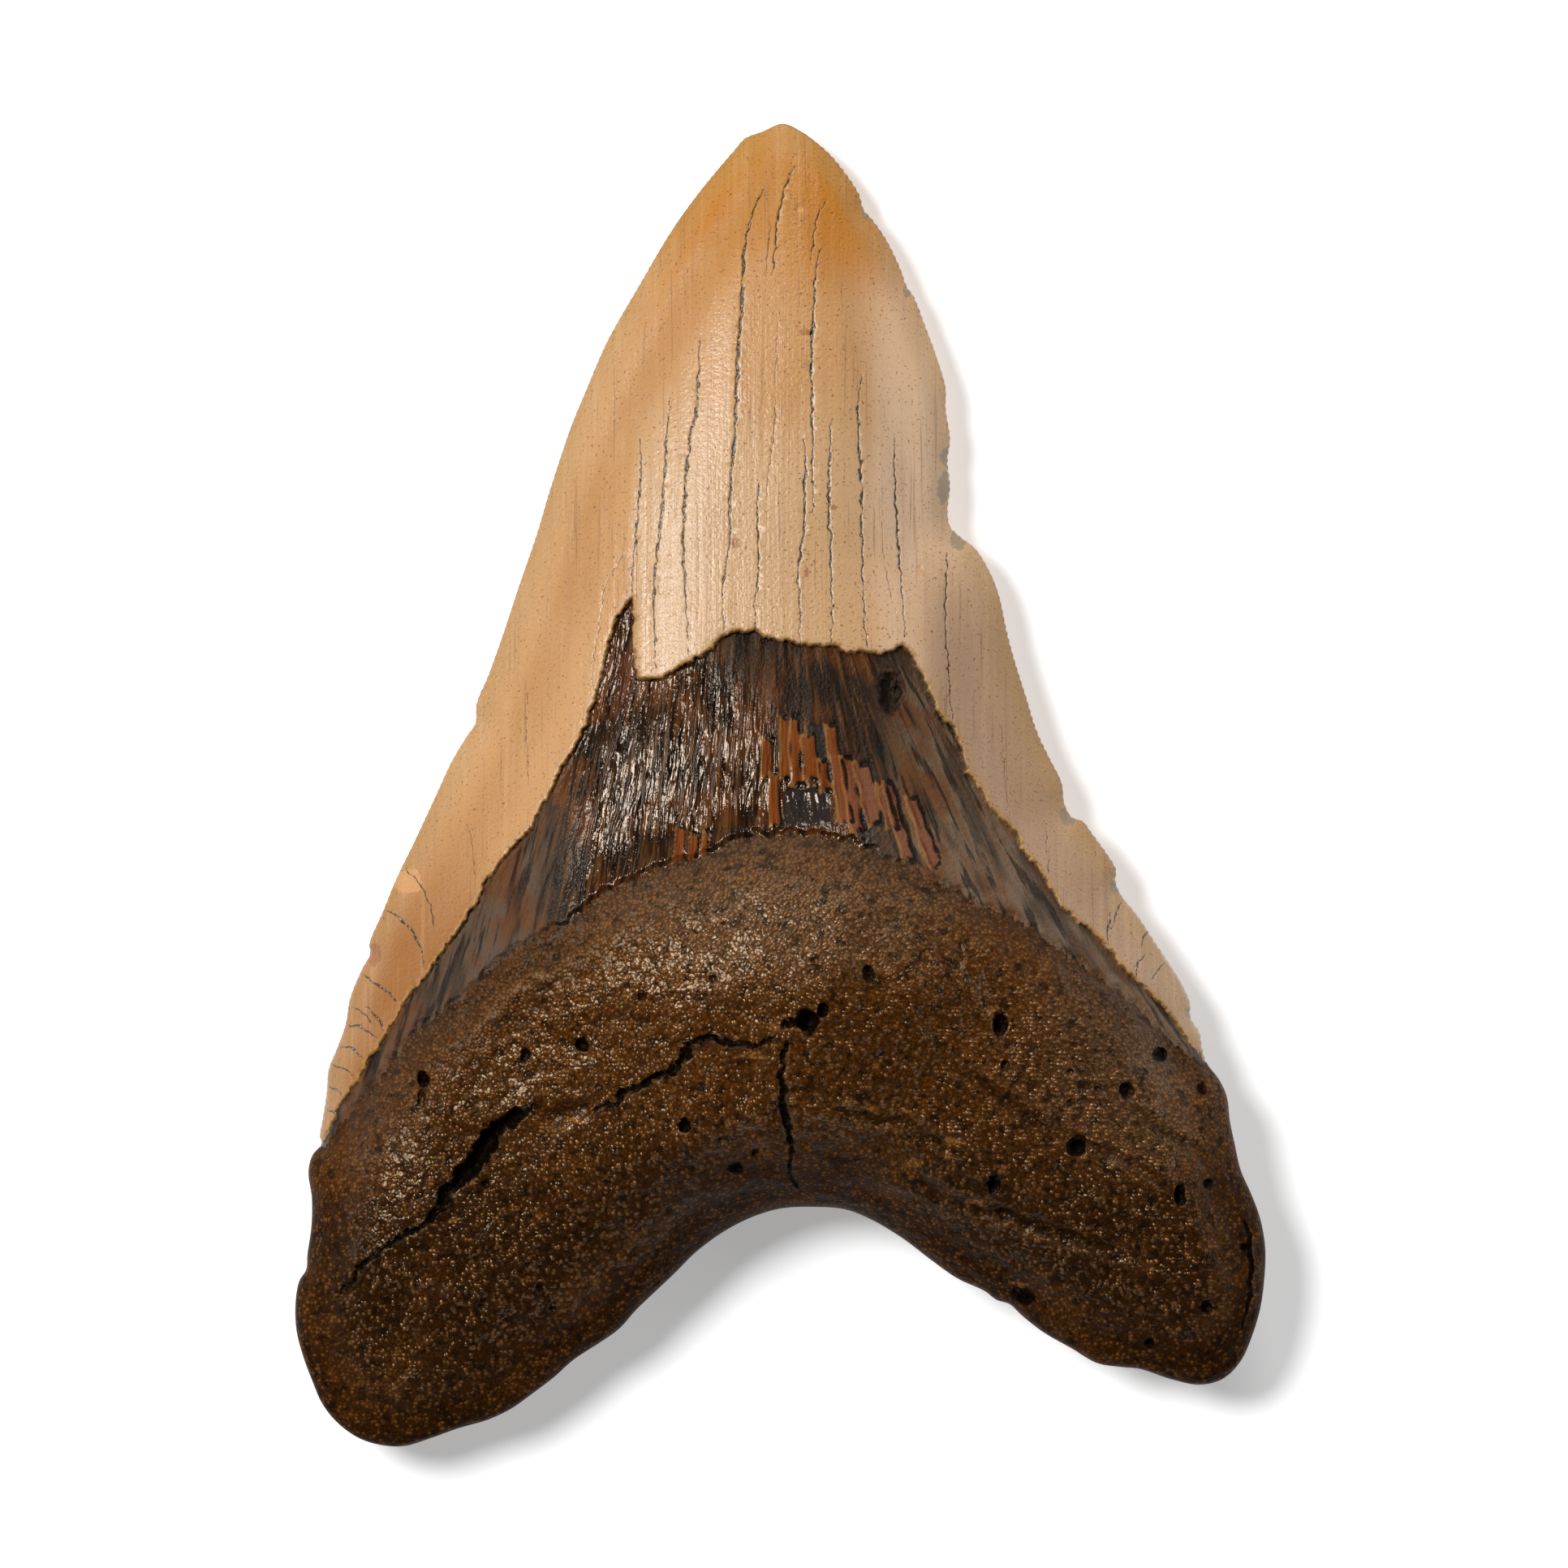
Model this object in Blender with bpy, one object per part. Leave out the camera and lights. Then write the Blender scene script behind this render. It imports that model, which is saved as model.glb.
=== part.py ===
# Fossil megalodon tooth, one grown piece: enamel crown, bourlette band and two-lobed root.
# It lies on its flat (labial) face with the domed (lingual) face up and the tip along +Y.
# The origin is at the middle of its box, on the table. Lengths below are in millimetres,
# and MM turns them to metres when the mesh is made.

import math

import bpy
import numpy as np
from mathutils import Vector, kdtree, noise
from mathutils.geometry import delaunay_2d_cdt

MM = 0.001

# Driving size, along the blade and across the root
TOOTH_LENGTH = 134.5
TOOTH_WIDTH = 98.5

# Outline seen from above, from the tip down the left cutting edge, round the root, and back up
LEFT_CUTTING_EDGE = [
    (0.3, 67.2), (-1.8, 66.4), (-3.6, 65.7), (-4.6, 64.6), (-6.3, 62.6), (-8.4, 60.0), (-11.1, 56.2),
    (-14.6, 50.3), (-17.6, 45.0), (-19.9, 39.7), (-21.4, 36.0), (-23.3, 30.3), (-24.8, 25.3),
    (-26.5, 20.3), (-28.3, 14.9), (-29.7, 11.0), (-30.9, 8.1), (-31.0, 6.2), (-31.9, 4.8),
    (-33.4, 2.3), (-35.3, -1.8), (-37.3, -6.1), (-39.1, -9.8), (-40.4, -13.0), (-41.75, -16.2),
    (-41.7, -17.3), (-42.5, -18.8), (-43.7, -21.7), (-44.2, -24.5), (-45.1, -27.0), (-45.9, -29.0),
    (-46.1, -31.3), (-46.5, -34.0), (-46.8, -35.8),
]
ROOT_EDGE = [
    (-46.6, -36.6), (-47.5, -37.7), (-47.9, -39.4), (-47.55, -42.0), (-47.6, -45.0), (-48.0, -47.8),
    (-48.1, -49.3), (-48.8, -50.4), (-49.2, -52.6), (-49.1, -55.5), (-48.4, -58.2), (-47.5, -60.6),
    (-46.5, -62.9), (-44.9, -64.9), (-42.6, -66.5), (-40.0, -67.2), (-38.0, -67.2), (-35.4, -66.4),
    (-32.6, -65.4), (-29.8, -64.6), (-27.4, -63.5), (-25.0, -61.8), (-22.9, -60.2), (-21.0, -58.5),
    (-18.4, -56.8), (-16.3, -55.3), (-14.6, -53.4), (-12.5, -51.4), (-10.6, -49.6), (-8.6, -47.6),
    (-5.6, -45.4), (-2.6, -43.9), (0.2, -43.1), (3.4, -42.95), (6.6, -43.2), (9.2, -44.2),
    (12.4, -46.1), (15.3, -48.3), (18.0, -50.2), (20.8, -51.5), (22.0, -52.4), (23.3, -52.8),
    (24.6, -54.0), (26.8, -55.7), (29.6, -57.3), (32.2, -58.8), (34.6, -59.2), (36.6, -59.4),
    (39.6, -60.4), (42.6, -61.0), (45.0, -60.4), (46.8, -58.6), (47.9, -56.2), (48.8, -53.2),
    (49.2, -50.2), (49.3, -47.2), (48.8, -44.2), (47.9, -41.7), (46.8, -39.2), (46.2, -36.6),
    (45.7, -34.2), (45.4, -31.8), (44.6, -30.0), (43.4, -28.4),
]
RIGHT_CUTTING_EDGE = [
    (42.95, -26.8), (42.7, -25.3), (41.8, -23.8), (41.7, -22.2), (40.8, -20.2), (39.3, -17.8),
    (37.6, -15.2), (36.4, -13.4), (34.7, -11.3), (34.15, -9.9), (34.2, -8.7), (33.2, -7.0),
    (31.8, -5.1), (30.8, -3.8), (29.7, -3.4), (28.95, -2.0), (28.7, 0.0), (27.4, 2.7), (26.2, 5.3),
    (25.1, 8.7), (24.0, 12.2), (23.1, 15.6), (22.3, 19.2), (21.4, 21.5), (19.9, 23.9), (18.5, 25.0),
    (17.4, 26.1), (17.1, 27.6), (17.35, 30.2), (17.1, 32.9), (17.35, 35.0), (16.9, 38.2),
    (16.9, 40.2), (15.9, 43.6), (14.7, 46.9), (13.6, 49.7), (13.0, 50.5), (12.3, 52.4), (10.9, 55.3),
    (9.4, 57.5), (8.6, 58.4), (8.1, 60.0), (6.9, 61.9), (5.2, 64.0), (3.6, 65.4), (2.2, 66.4),
]

# Lower margin of the enamel on the domed face: left flank, centre panel with the split beside it, right flank
LEFT_MARGIN = [
    (-46.6, -36.6), (-45.6, -34.8), (-44.6, -32.6), (-43.2, -30.8), (-41.8, -28.3), (-40.2, -26.0),
    (-38.6, -23.6), (-37.7, -21.6), (-36.3, -20.3), (-35.2, -18.6), (-34.0, -16.9), (-32.8, -15.3),
    (-31.5, -13.4), (-30.4, -11.6), (-29.7, -9.9), (-28.2, -8.1), (-26.6, -6.0), (-25.3, -4.8),
    (-24.1, -2.6), (-22.9, -0.4), (-21.9, 1.8), (-20.5, 3.8), (-19.5, 6.2), (-18.4, 9.2),
    (-17.6, 12.4), (-16.9, 15.3), (-16.2, 17.0), (-15.0, 18.7),
]
CENTRE_MARGIN = [
    (-15.0, 18.7), (-15.0, 15.0), (-14.8, 12.0), (-14.4, 10.8), (-13.2, 10.4), (-11.6, 10.8),
    (-9.4, 12.0), (-7.4, 13.2), (-6.0, 14.4), (-5.0, 15.2), (-2.6, 15.1), (-0.6, 14.5), (2.2, 13.9),
    (5.2, 13.8), (6.8, 13.1), (8.4, 13.3), (10.2, 13.0), (11.4, 13.5), (12.3, 14.0),
]
RIGHT_MARGIN = [
    (12.3, 14.0), (13.2, 12.8), (14.2, 11.0), (15.2, 8.8), (16.3, 6.6), (17.4, 5.5), (18.2, 3.4),
    (19.0, 1.0), (20.3, -1.0), (21.8, -3.2), (23.4, -4.5), (24.3, -6.4), (25.6, -8.0), (26.6, -9.4),
    (27.6, -11.2), (28.8, -12.9), (30.6, -14.3), (32.2, -15.6), (33.2, -16.8), (34.6, -18.6),
    (36.1, -20.0), (37.6, -21.6), (39.2, -23.2), (40.8, -25.3), (42.1, -27.0), (43.2, -28.2),
]

# Where the flakes of the bourlette end over the root
BOURLETTE_END = [
    (-46.6, -36.8), (-44.2, -34.0), (-41.6, -31.0), (-39.2, -27.8), (-37.2, -25.4), (-35.0, -23.6),
    (-33.0, -22.2), (-31.2, -20.7), (-29.6, -19.0), (-28.2, -17.7), (-26.2, -16.3), (-24.4, -15.4),
    (-22.6, -14.6), (-21.0, -13.7), (-19.6, -12.3), (-18.2, -11.2), (-16.4, -10.2), (-14.6, -9.6),
    (-12.6, -8.6), (-10.4, -7.8), (-8.2, -7.4), (-6.4, -6.6), (-4.8, -5.6), (-2.4, -5.3),
    (0.4, -5.0), (3.2, -5.1), (6.0, -5.6), (8.2, -6.3), (10.2, -7.3), (12.6, -8.2), (14.6, -9.2),
    (16.8, -10.2), (18.6, -11.2), (20.6, -12.4), (23.2, -13.3), (25.2, -14.5), (27.2, -16.0),
    (29.4, -17.4), (31.6, -19.0), (33.8, -20.5), (36.0, -22.4), (38.2, -24.6), (40.4, -26.6),
    (43.3, -28.4),
]

# Margin of the enamel on the flat face, a wide arch over the root
FLAT_FACE_MARGIN = [
    (-46.6, -36.6), (-41.0, -24.5), (-33.0, -13.0), (-23.0, -4.2), (-12.0, 0.8), (0.0, 2.4),
    (11.0, 1.4), (21.0, -3.0), (30.0, -10.6), (37.0, -19.0), (43.3, -28.3),
]

# Height of the outline above the table, from the tip down, and of the crown's dome above its edge
CROWN_EDGE_HEIGHT = [(70.0, 3.6), (60.0, 4.4), (40.0, 5.2), (20.0, 5.8), (0.0, 6.4), (-40.0, 7.2)]
CROWN_DOME = [
    (67.5, 0.2), (64.0, 1.9), (58.0, 4.0), (50.0, 6.2), (40.0, 8.2), (30.0, 9.7), (20.0, 11.0),
    (10.0, 12.4), (0.0, 14.0), (-20.0, 16.0), (-70.0, 17.0),
]
CROWN_HALF_WIDTH = [
    (67.5, 0.8), (64.0, 5.2), (58.0, 9.4), (50.0, 14.0), (40.0, 18.3), (30.0, 20.4), (20.0, 24.2),
    (10.0, 27.4), (0.0, 29.5), (-70.0, 31.0),
]
DOME_FULLNESS = 1.4
EDGE_HOLLOW_DEPTH = 0.45
EDGE_HOLLOW_AT = 4.6
EDGE_HOLLOW_WIDTH = 1.9
CROWN_TO_ROOT = (-13.0, 8.0)
CROWN_TO_ROOT_EDGE = (-5.0, 5.0)
STRIP_HALF_WIDTH_DEPTH = 0.7071

# Root: height of its rim, its back, the boss in the middle, and how far in its edge is rounded
ROOT_EDGE_HEIGHT = 8.6
ROOT_BACK_HEIGHT = 18.2
ROOT_LOBE_DROP = 4.6
ROOT_LOBE_FALL = (38.0, 66.0)
BOSS_CENTRE = (1.0, -21.0)
BOSS_SPREAD = (24.0, 18.0)
BOSS_RISE = 8.2
ROOT_ROUNDING = 12.0
ROOT_LUMP_SIZE = 13.0
ROOT_LUMP_HEIGHT = 0.8
ROOT_KNOB_SIZE = 4.2
ROOT_KNOB_HEIGHT = 0.28
LUMP_SEED = 3.1
KNOB_SEED = 8.4

# Flat face: the flat spot that it rests on, how it lifts away from the spot, and its edge rounding
REST_CENTRE = (0.5, -23.0)
REST_RADIUS = (25.0, 15.0)
LIFT_SLOPE = 0.045
LIFT_START = 12.0
FLAT_FACE_ROUNDING = 9.0
FLAT_FURROW_DEPTH = 1.1
FLAT_FURROW_WIDTH = 7.0
FLAT_ENAMEL_STEP = 0.5
FLAT_ENAMEL_STEP_RUN = 0.6
FLAT_CURL_CHANGE = 4.0

# Broken steps: enamel over bourlette, and bourlette over root
ENAMEL_STEP = 0.75
ENAMEL_STEP_RUN = 0.45
BOURLETTE_STEP = 0.55
BOURLETTE_STEP_RUN = 0.5
DETAIL_FROM_EDGE = (0.2, 2.5)
CRACK_END_SHARE = 0.12
CRACK_SKEW = 0.75

# Open cracks in the enamel, with their greatest width and depth
CROWN_CRACKS = [
    ([(-1.9, 60.2), (-2.6, 58.7), (-3.2, 56.6), (-3.7, 53.5), (-3.9, 48.5), (-4.2, 44.5), (-4.4, 40.0),
      (-4.6, 35.0), (-5.0, 30.5), (-5.1, 25.5), (-5.7, 20.5), (-5.8, 16.8)], 0.6, 0.55),
    ([(4.0, 54.2), (3.5, 50.5), (3.3, 46.5), (3.1, 42.0), (3.2, 37.0), (3.2, 32.0), (3.4, 27.6)], 0.55, 0.5),
    ([(2.4, 24.8), (1.9, 21.5), (2.0, 18.5), (2.0, 15.4)], 0.5, 0.4),
    ([(8.2, 40.8), (7.9, 37.5), (8.1, 32.0), (8.2, 26.5), (8.4, 20.0), (8.6, 15.2)], 0.5, 0.4),
    ([(11.7, 34.0), (11.7, 28.0), (12.1, 22.5), (12.5, 17.0)], 0.5, 0.4),
    ([(-8.3, 42.0), (-8.5, 38.0), (-9.2, 34.0), (-9.7, 28.0), (-9.7, 22.0), (-9.4, 16.5)], 0.5, 0.4),
    ([(-11.3, 37.0), (-11.7, 31.5), (-12.2, 25.5), (-12.8, 20.0), (-12.7, 13.4)], 0.5, 0.4),
]

# Cracks in the root: route, greatest width and depth
FISSURES = [
    ([(-25.2, -33.2), (-26.6, -34.0), (-28.0, -35.9), (-29.0, -37.6), (-30.6, -39.3), (-32.4, -40.8),
      (-34.2, -42.6), (-35.0, -44.2), (-37.2, -45.7), (-39.4, -46.7), (-41.6, -48.7), (-43.6, -50.4),
      (-45.0, -52.6)], 1.7, 2.3),
    ([(-18.6, -33.8), (-17.6, -32.6), (-15.8, -31.6), (-14.4, -30.6), (-12.6, -29.8), (-10.9, -29.0),
      (-10.0, -27.9), (-9.0, -26.7), (-7.6, -26.2), (-6.0, -26.4), (-4.2, -26.5), (-2.4, -25.9)],
     0.9, 1.1),
    ([(0.4, -27.0), (0.5, -28.8), (0.2, -30.4), (0.3, -32.2), (1.0, -33.6), (1.2, -35.2), (0.8, -36.8),
      (1.2, -38.4), (1.8, -40.2)], 0.8, 1.0),
    ([(15.1, -27.7), (18.9, -29.5), (22.9, -32.1), (25.9, -34.0), (28.2, -35.2)], 1.3, 0.6),
    ([(36.0, -32.4), (38.6, -35.1), (41.6, -36.6), (43.2, -38.8)], 1.3, 0.6),
]

# Grooves between the bundles of fibres in the bourlette: where they start along the enamel, and how they fan
GROOVE_STARTS = (-21.0, -18.0, -12.6, -10.0, -7.4, -4.6, -1.6, 1.6, 4.6, 7.2, 9.4, 11.4)
GROOVE_FAN_LEFT = 0.012
GROOVE_FAN_RIGHT = 0.046
GROOVE_TOP = 15.0
GROOVE_WIDTH = 1.5
GROOVE_DEPTH = 0.35
GROOVE_CLEARANCE = 1.1
GROOVE_LOWEST = -26.0
GROOVE_STEP = 1.5

# Holes: centre, half widths across and along, depth
PITS = [
    (2.8, -23.9, 0.95, 1.3, 2.4),
    (11.0, 9.2, 1.3, 2.1, 0.8),
    (8.9, -19.1, 0.6, 0.8, 0.8),
    (-9.7, -34.3, 0.6, 0.7, 1.0),
    (22.2, -24.2, 0.6, 1.2, 1.2),
    (38.5, -27.3, 0.7, 0.9, 0.9),
    (35.0, -30.9, 0.7, 0.8, 0.8),
    (29.8, -36.5, 0.8, 0.9, 1.2),
    (21.6, -40.3, 0.8, 1.1, 1.1),
    (40.4, -41.6, 0.6, 1.1, 1.1),
    (43.0, -53.0, 0.7, 0.8, 0.9),
    (-36.0, -29.7, 0.6, 0.9, 1.0),
    (-25.8, -27.5, 0.5, 0.9, 0.8),
    (-19.9, -26.2, 0.6, 0.7, 0.9),
    (-4.5, -38.7, 0.8, 0.6, 0.8),
    (24.6, -52.0, 1.3, 0.9, 1.0),
]

# Facet sizes: steps along lines, grids, rows in from the outline, and the least gaps between points
CURVE_PIECES = 10
OUTLINE_STEP = 1.6
LINE_STEP = 1.7
CRACK_STEP = 1.36
TOP_GRID = 2.0
FLAT_GRID = 3.6
EDGE_ROWS = (0.7, 2.3, 4.6)
FURROW_LINES = (0.3, 0.65, 1.0)
PIT_SIDES = 8
REST_SIDES = 40
LEAST_GAP = 0.3
ROW_GAP = 0.45
ROW_GAP_SHARE = 0.6
FILL_GAP_SHARE = 0.72
ROW_KEPT_SHARE = 0.93
LINE_CLEARANCE = 0.5
SAME_PLACE = 1e-4
RECENT_POINTS = 90

# Colours, roughness: caramel enamel, near-black bourlette, warm brown root
FINISHES = [
    ("enamel", (0.56, 0.33, 0.15, 1.0), 0.28),
    ("bourlette", (0.035, 0.024, 0.018, 1.0), 0.4),
    ("root", (0.075, 0.038, 0.018, 1.0), 0.5),
]
ENAMEL, BOURLETTE, ROOT = 0, 1, 2


def smooth_line(points, closed=False):
    # Centripetal curve through hand-placed points
    points = np.array(points, float)
    if closed:
        padded = np.vstack([points[-1], points, points[:2]])
    else:
        padded = np.vstack([2 * points[0] - points[1], points, 2 * points[-1] - points[-2]])
    steps = np.sqrt(np.linalg.norm(np.diff(padded, axis=0), axis=1))
    share = np.linspace(0, 1, CURVE_PIECES, endpoint=False)[:, None]
    line = []
    for i in range(1, len(padded) - 2):
        a, b, c, d = padded[i - 1:i + 3]
        before, here, after = steps[i - 1:i + 2]
        start = here * ((b - a) / before - (c - a) / (before + here)) + (c - b)
        end = here * ((d - c) / after - (d - b) / (here + after)) + (c - b)
        line.append(b + start * share + (3 * (c - b) - 2 * start - end) * share ** 2
                    + (2 * (b - c) + start + end) * share ** 3)
    line = np.vstack(line)
    return line if closed else np.vstack([line, points[-1]])


def even_points(line, step, closed=False):
    # The same line with its points a fixed step apart
    ring = np.vstack([line, line[:1]]) if closed else line
    along = np.concatenate([[0], np.cumsum(np.linalg.norm(np.diff(ring, axis=0), axis=1))])
    count = max(2, round(along[-1] / step))
    places = np.linspace(0, along[-1], count + 1)
    even = np.column_stack([np.interp(places, along, ring[:, k]) for k in range(2)])
    return even[:-1] if closed else even


def profile(where, stations):
    # Smooth value read from a few (place, value) stations
    line = smooth_line(stations)
    order = np.argsort(line[:, 0])
    return np.interp(where, line[order, 0], line[order, 1])


def ease(value, low, high):
    share = np.clip((value - low) / (high - low), 0, 1)
    return share * share * (3 - 2 * share)


def nearest_on(points, line):
    # Distance to an open line, and how far along it the nearest place is, from 0 to 1
    best = np.full(len(points), np.inf)
    share = np.zeros(len(points))
    for i in range(len(line) - 1):
        run = line[i + 1] - line[i]
        part = np.clip((points - line[i]) @ run / (run @ run), 0, 1)
        gap = np.linalg.norm(points - line[i] - part[:, None] * run, axis=1)
        closer = gap < best
        best[closer] = gap[closer]
        share[closer] = (i + part[closer]) / (len(line) - 1)
    return best, share


def inside(points, polygon):
    # Crossing count against a closed polygon
    hits = np.zeros(len(points), bool)
    x, y = points[:, 0], points[:, 1]
    for a, b in zip(polygon, np.roll(polygon, -1, axis=0)):
        if a[1] == b[1]:
            continue
        spans = (a[1] > y) != (b[1] > y)
        hits ^= spans & (x < a[0] + (y - a[1]) * (b[0] - a[0]) / (b[1] - a[1]))
    return hits


def depth_inside(points, outline):
    # Rounded distance in from the outline: equal to the distance near it, level along the middle
    pull = np.zeros(len(points))
    for a, b in zip(outline, np.roll(outline, -1, axis=0)):
        run = b - a
        length = math.hypot(*run)
        along = (points - a) @ run / length
        across = (points - a) @ np.array([-run[1], run[0]]) / length
        square = np.maximum(across ** 2, SAME_PLACE ** 2)
        reach = (length - along) / np.sqrt((length - along) ** 2 + square)
        pull += (reach + along / np.sqrt(along ** 2 + square)) / square
    return np.sqrt(2 / pull)


def beside(points, line, side):
    # Signed distance to a line that crosses the tooth: above zero on its tip side (side 1) or root side (-1)
    far = 2 * TOOTH_LENGTH
    loop = np.vstack([line, [(far, line[-1, 1]), (far, side * far), (-far, side * far), (-far, line[0, 1])]])
    gap, _ = nearest_on(points, line)
    return np.where(inside(points, loop), gap, -gap)


def offset_line(line, distance):
    # The line moved sideways, to its left as it runs
    run = np.gradient(line, axis=0)
    run /= np.linalg.norm(run, axis=1)[:, None]
    return line + distance * np.column_stack([-run[:, 1], run[:, 0]])


def lumps(points, size, seed):
    return np.array([noise.noise(Vector((x / size, y / size, seed))) for x, y in points])


def tooth_outline():
    # Fitted to the driving size and centred on the origin
    outline = smooth_line(LEFT_CUTTING_EDGE + ROOT_EDGE + RIGHT_CUTTING_EDGE, closed=True)
    outline = even_points(outline, OUTLINE_STEP, closed=True)
    low, high = outline.min(axis=0), outline.max(axis=0)
    return (outline - (low + high) / 2) * np.array([TOOTH_WIDTH, TOOTH_LENGTH]) / (high - low)


def margin_line(first, *others):
    # Smooth runs that meet at corners; each run starts where the one before it ends
    runs = [even_points(smooth_line(first), LINE_STEP)]
    runs += [even_points(smooth_line(run), LINE_STEP)[1:] for run in others]
    return np.vstack(runs)


OUTLINE = tooth_outline()
ENAMEL_MARGIN = margin_line(LEFT_MARGIN, CENTRE_MARGIN, RIGHT_MARGIN)
ROOT_MARGIN = margin_line(BOURLETTE_END)
LABIAL_MARGIN = margin_line(FLAT_FACE_MARGIN)


def all_cracks():
    return CROWN_CRACKS + FISSURES + bourlette_grooves()


def edge_height(points):
    crown = profile(points[:, 1], CROWN_EDGE_HEIGHT)
    on_root = ease(beside(points, ROOT_MARGIN, -1), *CROWN_TO_ROOT_EDGE)
    return crown + (ROOT_EDGE_HEIGHT - crown) * on_root


def crown_dome(points, depth):
    middle_depth = STRIP_HALF_WIDTH_DEPTH * profile(points[:, 1], CROWN_HALF_WIDTH)
    share = np.clip(depth / middle_depth, 0, 1)
    dome = profile(points[:, 1], CROWN_DOME) * (1 - (1 - share) ** DOME_FULLNESS)
    hollow = EDGE_HOLLOW_DEPTH * np.exp(-((depth - EDGE_HOLLOW_AT) / EDGE_HOLLOW_WIDTH) ** 2)
    return dome - hollow * ease(depth, 0, EDGE_HOLLOW_WIDTH)


def root_back(points, depth):
    # Height of the root's back above its own rim
    x, y = points[:, 0], points[:, 1]
    across = (x - BOSS_CENTRE[0]) / BOSS_SPREAD[0]
    along = (y - BOSS_CENTRE[1]) / BOSS_SPREAD[1]
    boss = BOSS_RISE * np.exp(-across ** 2 - along ** 2)
    back = ROOT_BACK_HEIGHT + boss - ROOT_LOBE_DROP * ease(-y, *ROOT_LOBE_FALL)
    inward = np.minimum(depth / ROOT_ROUNDING, 1)
    rounding = np.sqrt(1 - (1 - inward) ** 2)
    rough = ROOT_LUMP_HEIGHT * lumps(points, ROOT_LUMP_SIZE, LUMP_SEED)
    rough += ROOT_KNOB_HEIGHT * lumps(points, ROOT_KNOB_SIZE, KNOB_SEED)
    return (back - ROOT_EDGE_HEIGHT + rough) * rounding


def broken_steps(points):
    enamel = ENAMEL_STEP * ease(beside(points, ENAMEL_MARGIN, 1), 0, ENAMEL_STEP_RUN)
    bourlette = BOURLETTE_STEP * ease(beside(points, ROOT_MARGIN, 1), 0, BOURLETTE_STEP_RUN)
    return enamel + bourlette - ENAMEL_STEP


def bourlette_grooves():
    # Each runs down from the enamel to just short of the flakes' end, leaning outwards
    grooves = []
    heights = np.arange(GROOVE_TOP, GROOVE_LOWEST, -GROOVE_STEP)
    for start in GROOVE_STARTS:
        fan = GROOVE_FAN_LEFT if start < 0 else GROOVE_FAN_RIGHT
        route = np.column_stack([start * (1 + fan * (GROOVE_TOP - heights)), heights])
        on_band = beside(route, ENAMEL_MARGIN, -1) > GROOVE_CLEARANCE
        on_band &= beside(route, ROOT_MARGIN, 1) > GROOVE_CLEARANCE
        grooves.append((route[on_band], GROOVE_WIDTH, GROOVE_DEPTH))
    return grooves


def crack_width(share, width):
    # A crack is widest a little before its middle and nearly closes at both ends
    opening = np.sin(np.pi * share ** CRACK_SKEW)
    return width * (CRACK_END_SHARE + (1 - CRACK_END_SHARE) * opening)


def cracks(points):
    depth = np.zeros(len(points))
    for route, width, deepest in all_cracks():
        gap, share = nearest_on(points, smooth_line(route))
        half = crack_width(share, width) / 2
        depth = np.maximum(depth, deepest * half * 2 / width * np.clip(1 - gap / half, 0, 1))
    return depth


def pits(points):
    depth = np.zeros(len(points))
    for x, y, across, along, deepest in PITS:
        reach = np.hypot((points[:, 0] - x) / across, (points[:, 1] - y) / along)
        depth += deepest * np.clip(1 - reach ** 2, 0, None)
    return depth


def domed_face(points):
    depth = depth_inside(points, OUTLINE)
    rim = edge_height(points)
    on_root = ease(beside(points, ROOT_MARGIN, -1), *CROWN_TO_ROOT)
    rise = crown_dome(points, depth) * (1 - on_root) + root_back(points, depth) * on_root
    inward = ease(depth, *DETAIL_FROM_EDGE)
    return rim + rise + inward * (broken_steps(points) - cracks(points) - pits(points))


def flat_face(points):
    depth = depth_inside(points, OUTLINE)
    rim = edge_height(points)
    reach = np.linalg.norm((points - REST_CENTRE) / REST_RADIUS, axis=1)
    away = np.maximum(reach - 1, 0) * min(REST_RADIUS)
    lift = LIFT_SLOPE * away ** 2 / (away + LIFT_START)
    to_crown = beside(points, LABIAL_MARGIN, 1)
    furrow = FLAT_FURROW_DEPTH * ease(to_crown, -FLAT_FURROW_WIDTH, 0)
    furrow -= FLAT_ENAMEL_STEP * ease(to_crown, 0, FLAT_ENAMEL_STEP_RUN)
    inward = 1 - np.minimum(depth / FLAT_FACE_ROUNDING, 1)
    level = lift + furrow * ease(depth, *DETAIL_FROM_EDGE)
    on_root = ease(-to_crown, -FLAT_CURL_CHANGE, FLAT_CURL_CHANGE)
    curl = inward ** 2 * (1 - on_root) + (1 - np.sqrt(1 - inward ** 2)) * on_root
    return level + (rim - level) * curl


def inset_rows(rows):
    # Rows of points that follow the outline inside it
    placed = []
    for row in rows:
        ring = offset_line(np.vstack([OUTLINE, OUTLINE[:2]]), row)[1:-1]
        gap, _ = nearest_on(ring, np.vstack([OUTLINE, OUTLINE[:1]]))
        placed.append(ring[inside(ring, OUTLINE) & (gap > ROW_KEPT_SHARE * row)])
    return np.vstack(placed)


def hex_grid(step):
    rows = np.arange(-TOOTH_LENGTH / 2, TOOTH_LENGTH / 2, step * math.sin(math.pi / 3))
    columns = np.arange(-TOOTH_WIDTH / 2, TOOTH_WIDTH / 2, step)
    grid = [(x + step / 2 * (i % 2), y) for i, y in enumerate(rows) for x in columns]
    return np.array(grid)


def spaced(candidates, placed, gap):
    # Candidates that keep a gap to the placed points and to each other
    kept = []
    tree = kdtree.KDTree(len(placed))
    for i, (x, y) in enumerate(placed):
        tree.insert((x, y, 0), i)
    tree.balance()
    for x, y in candidates:
        if tree.find((x, y, 0))[2] > gap and clear_of(kept[-RECENT_POINTS:], x, y, gap):
            kept.append((x, y))
    return np.array(kept)


def clear_of(others, x, y, gap):
    return all(math.hypot(x - a, y - b) > gap for a, b in others)


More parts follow.
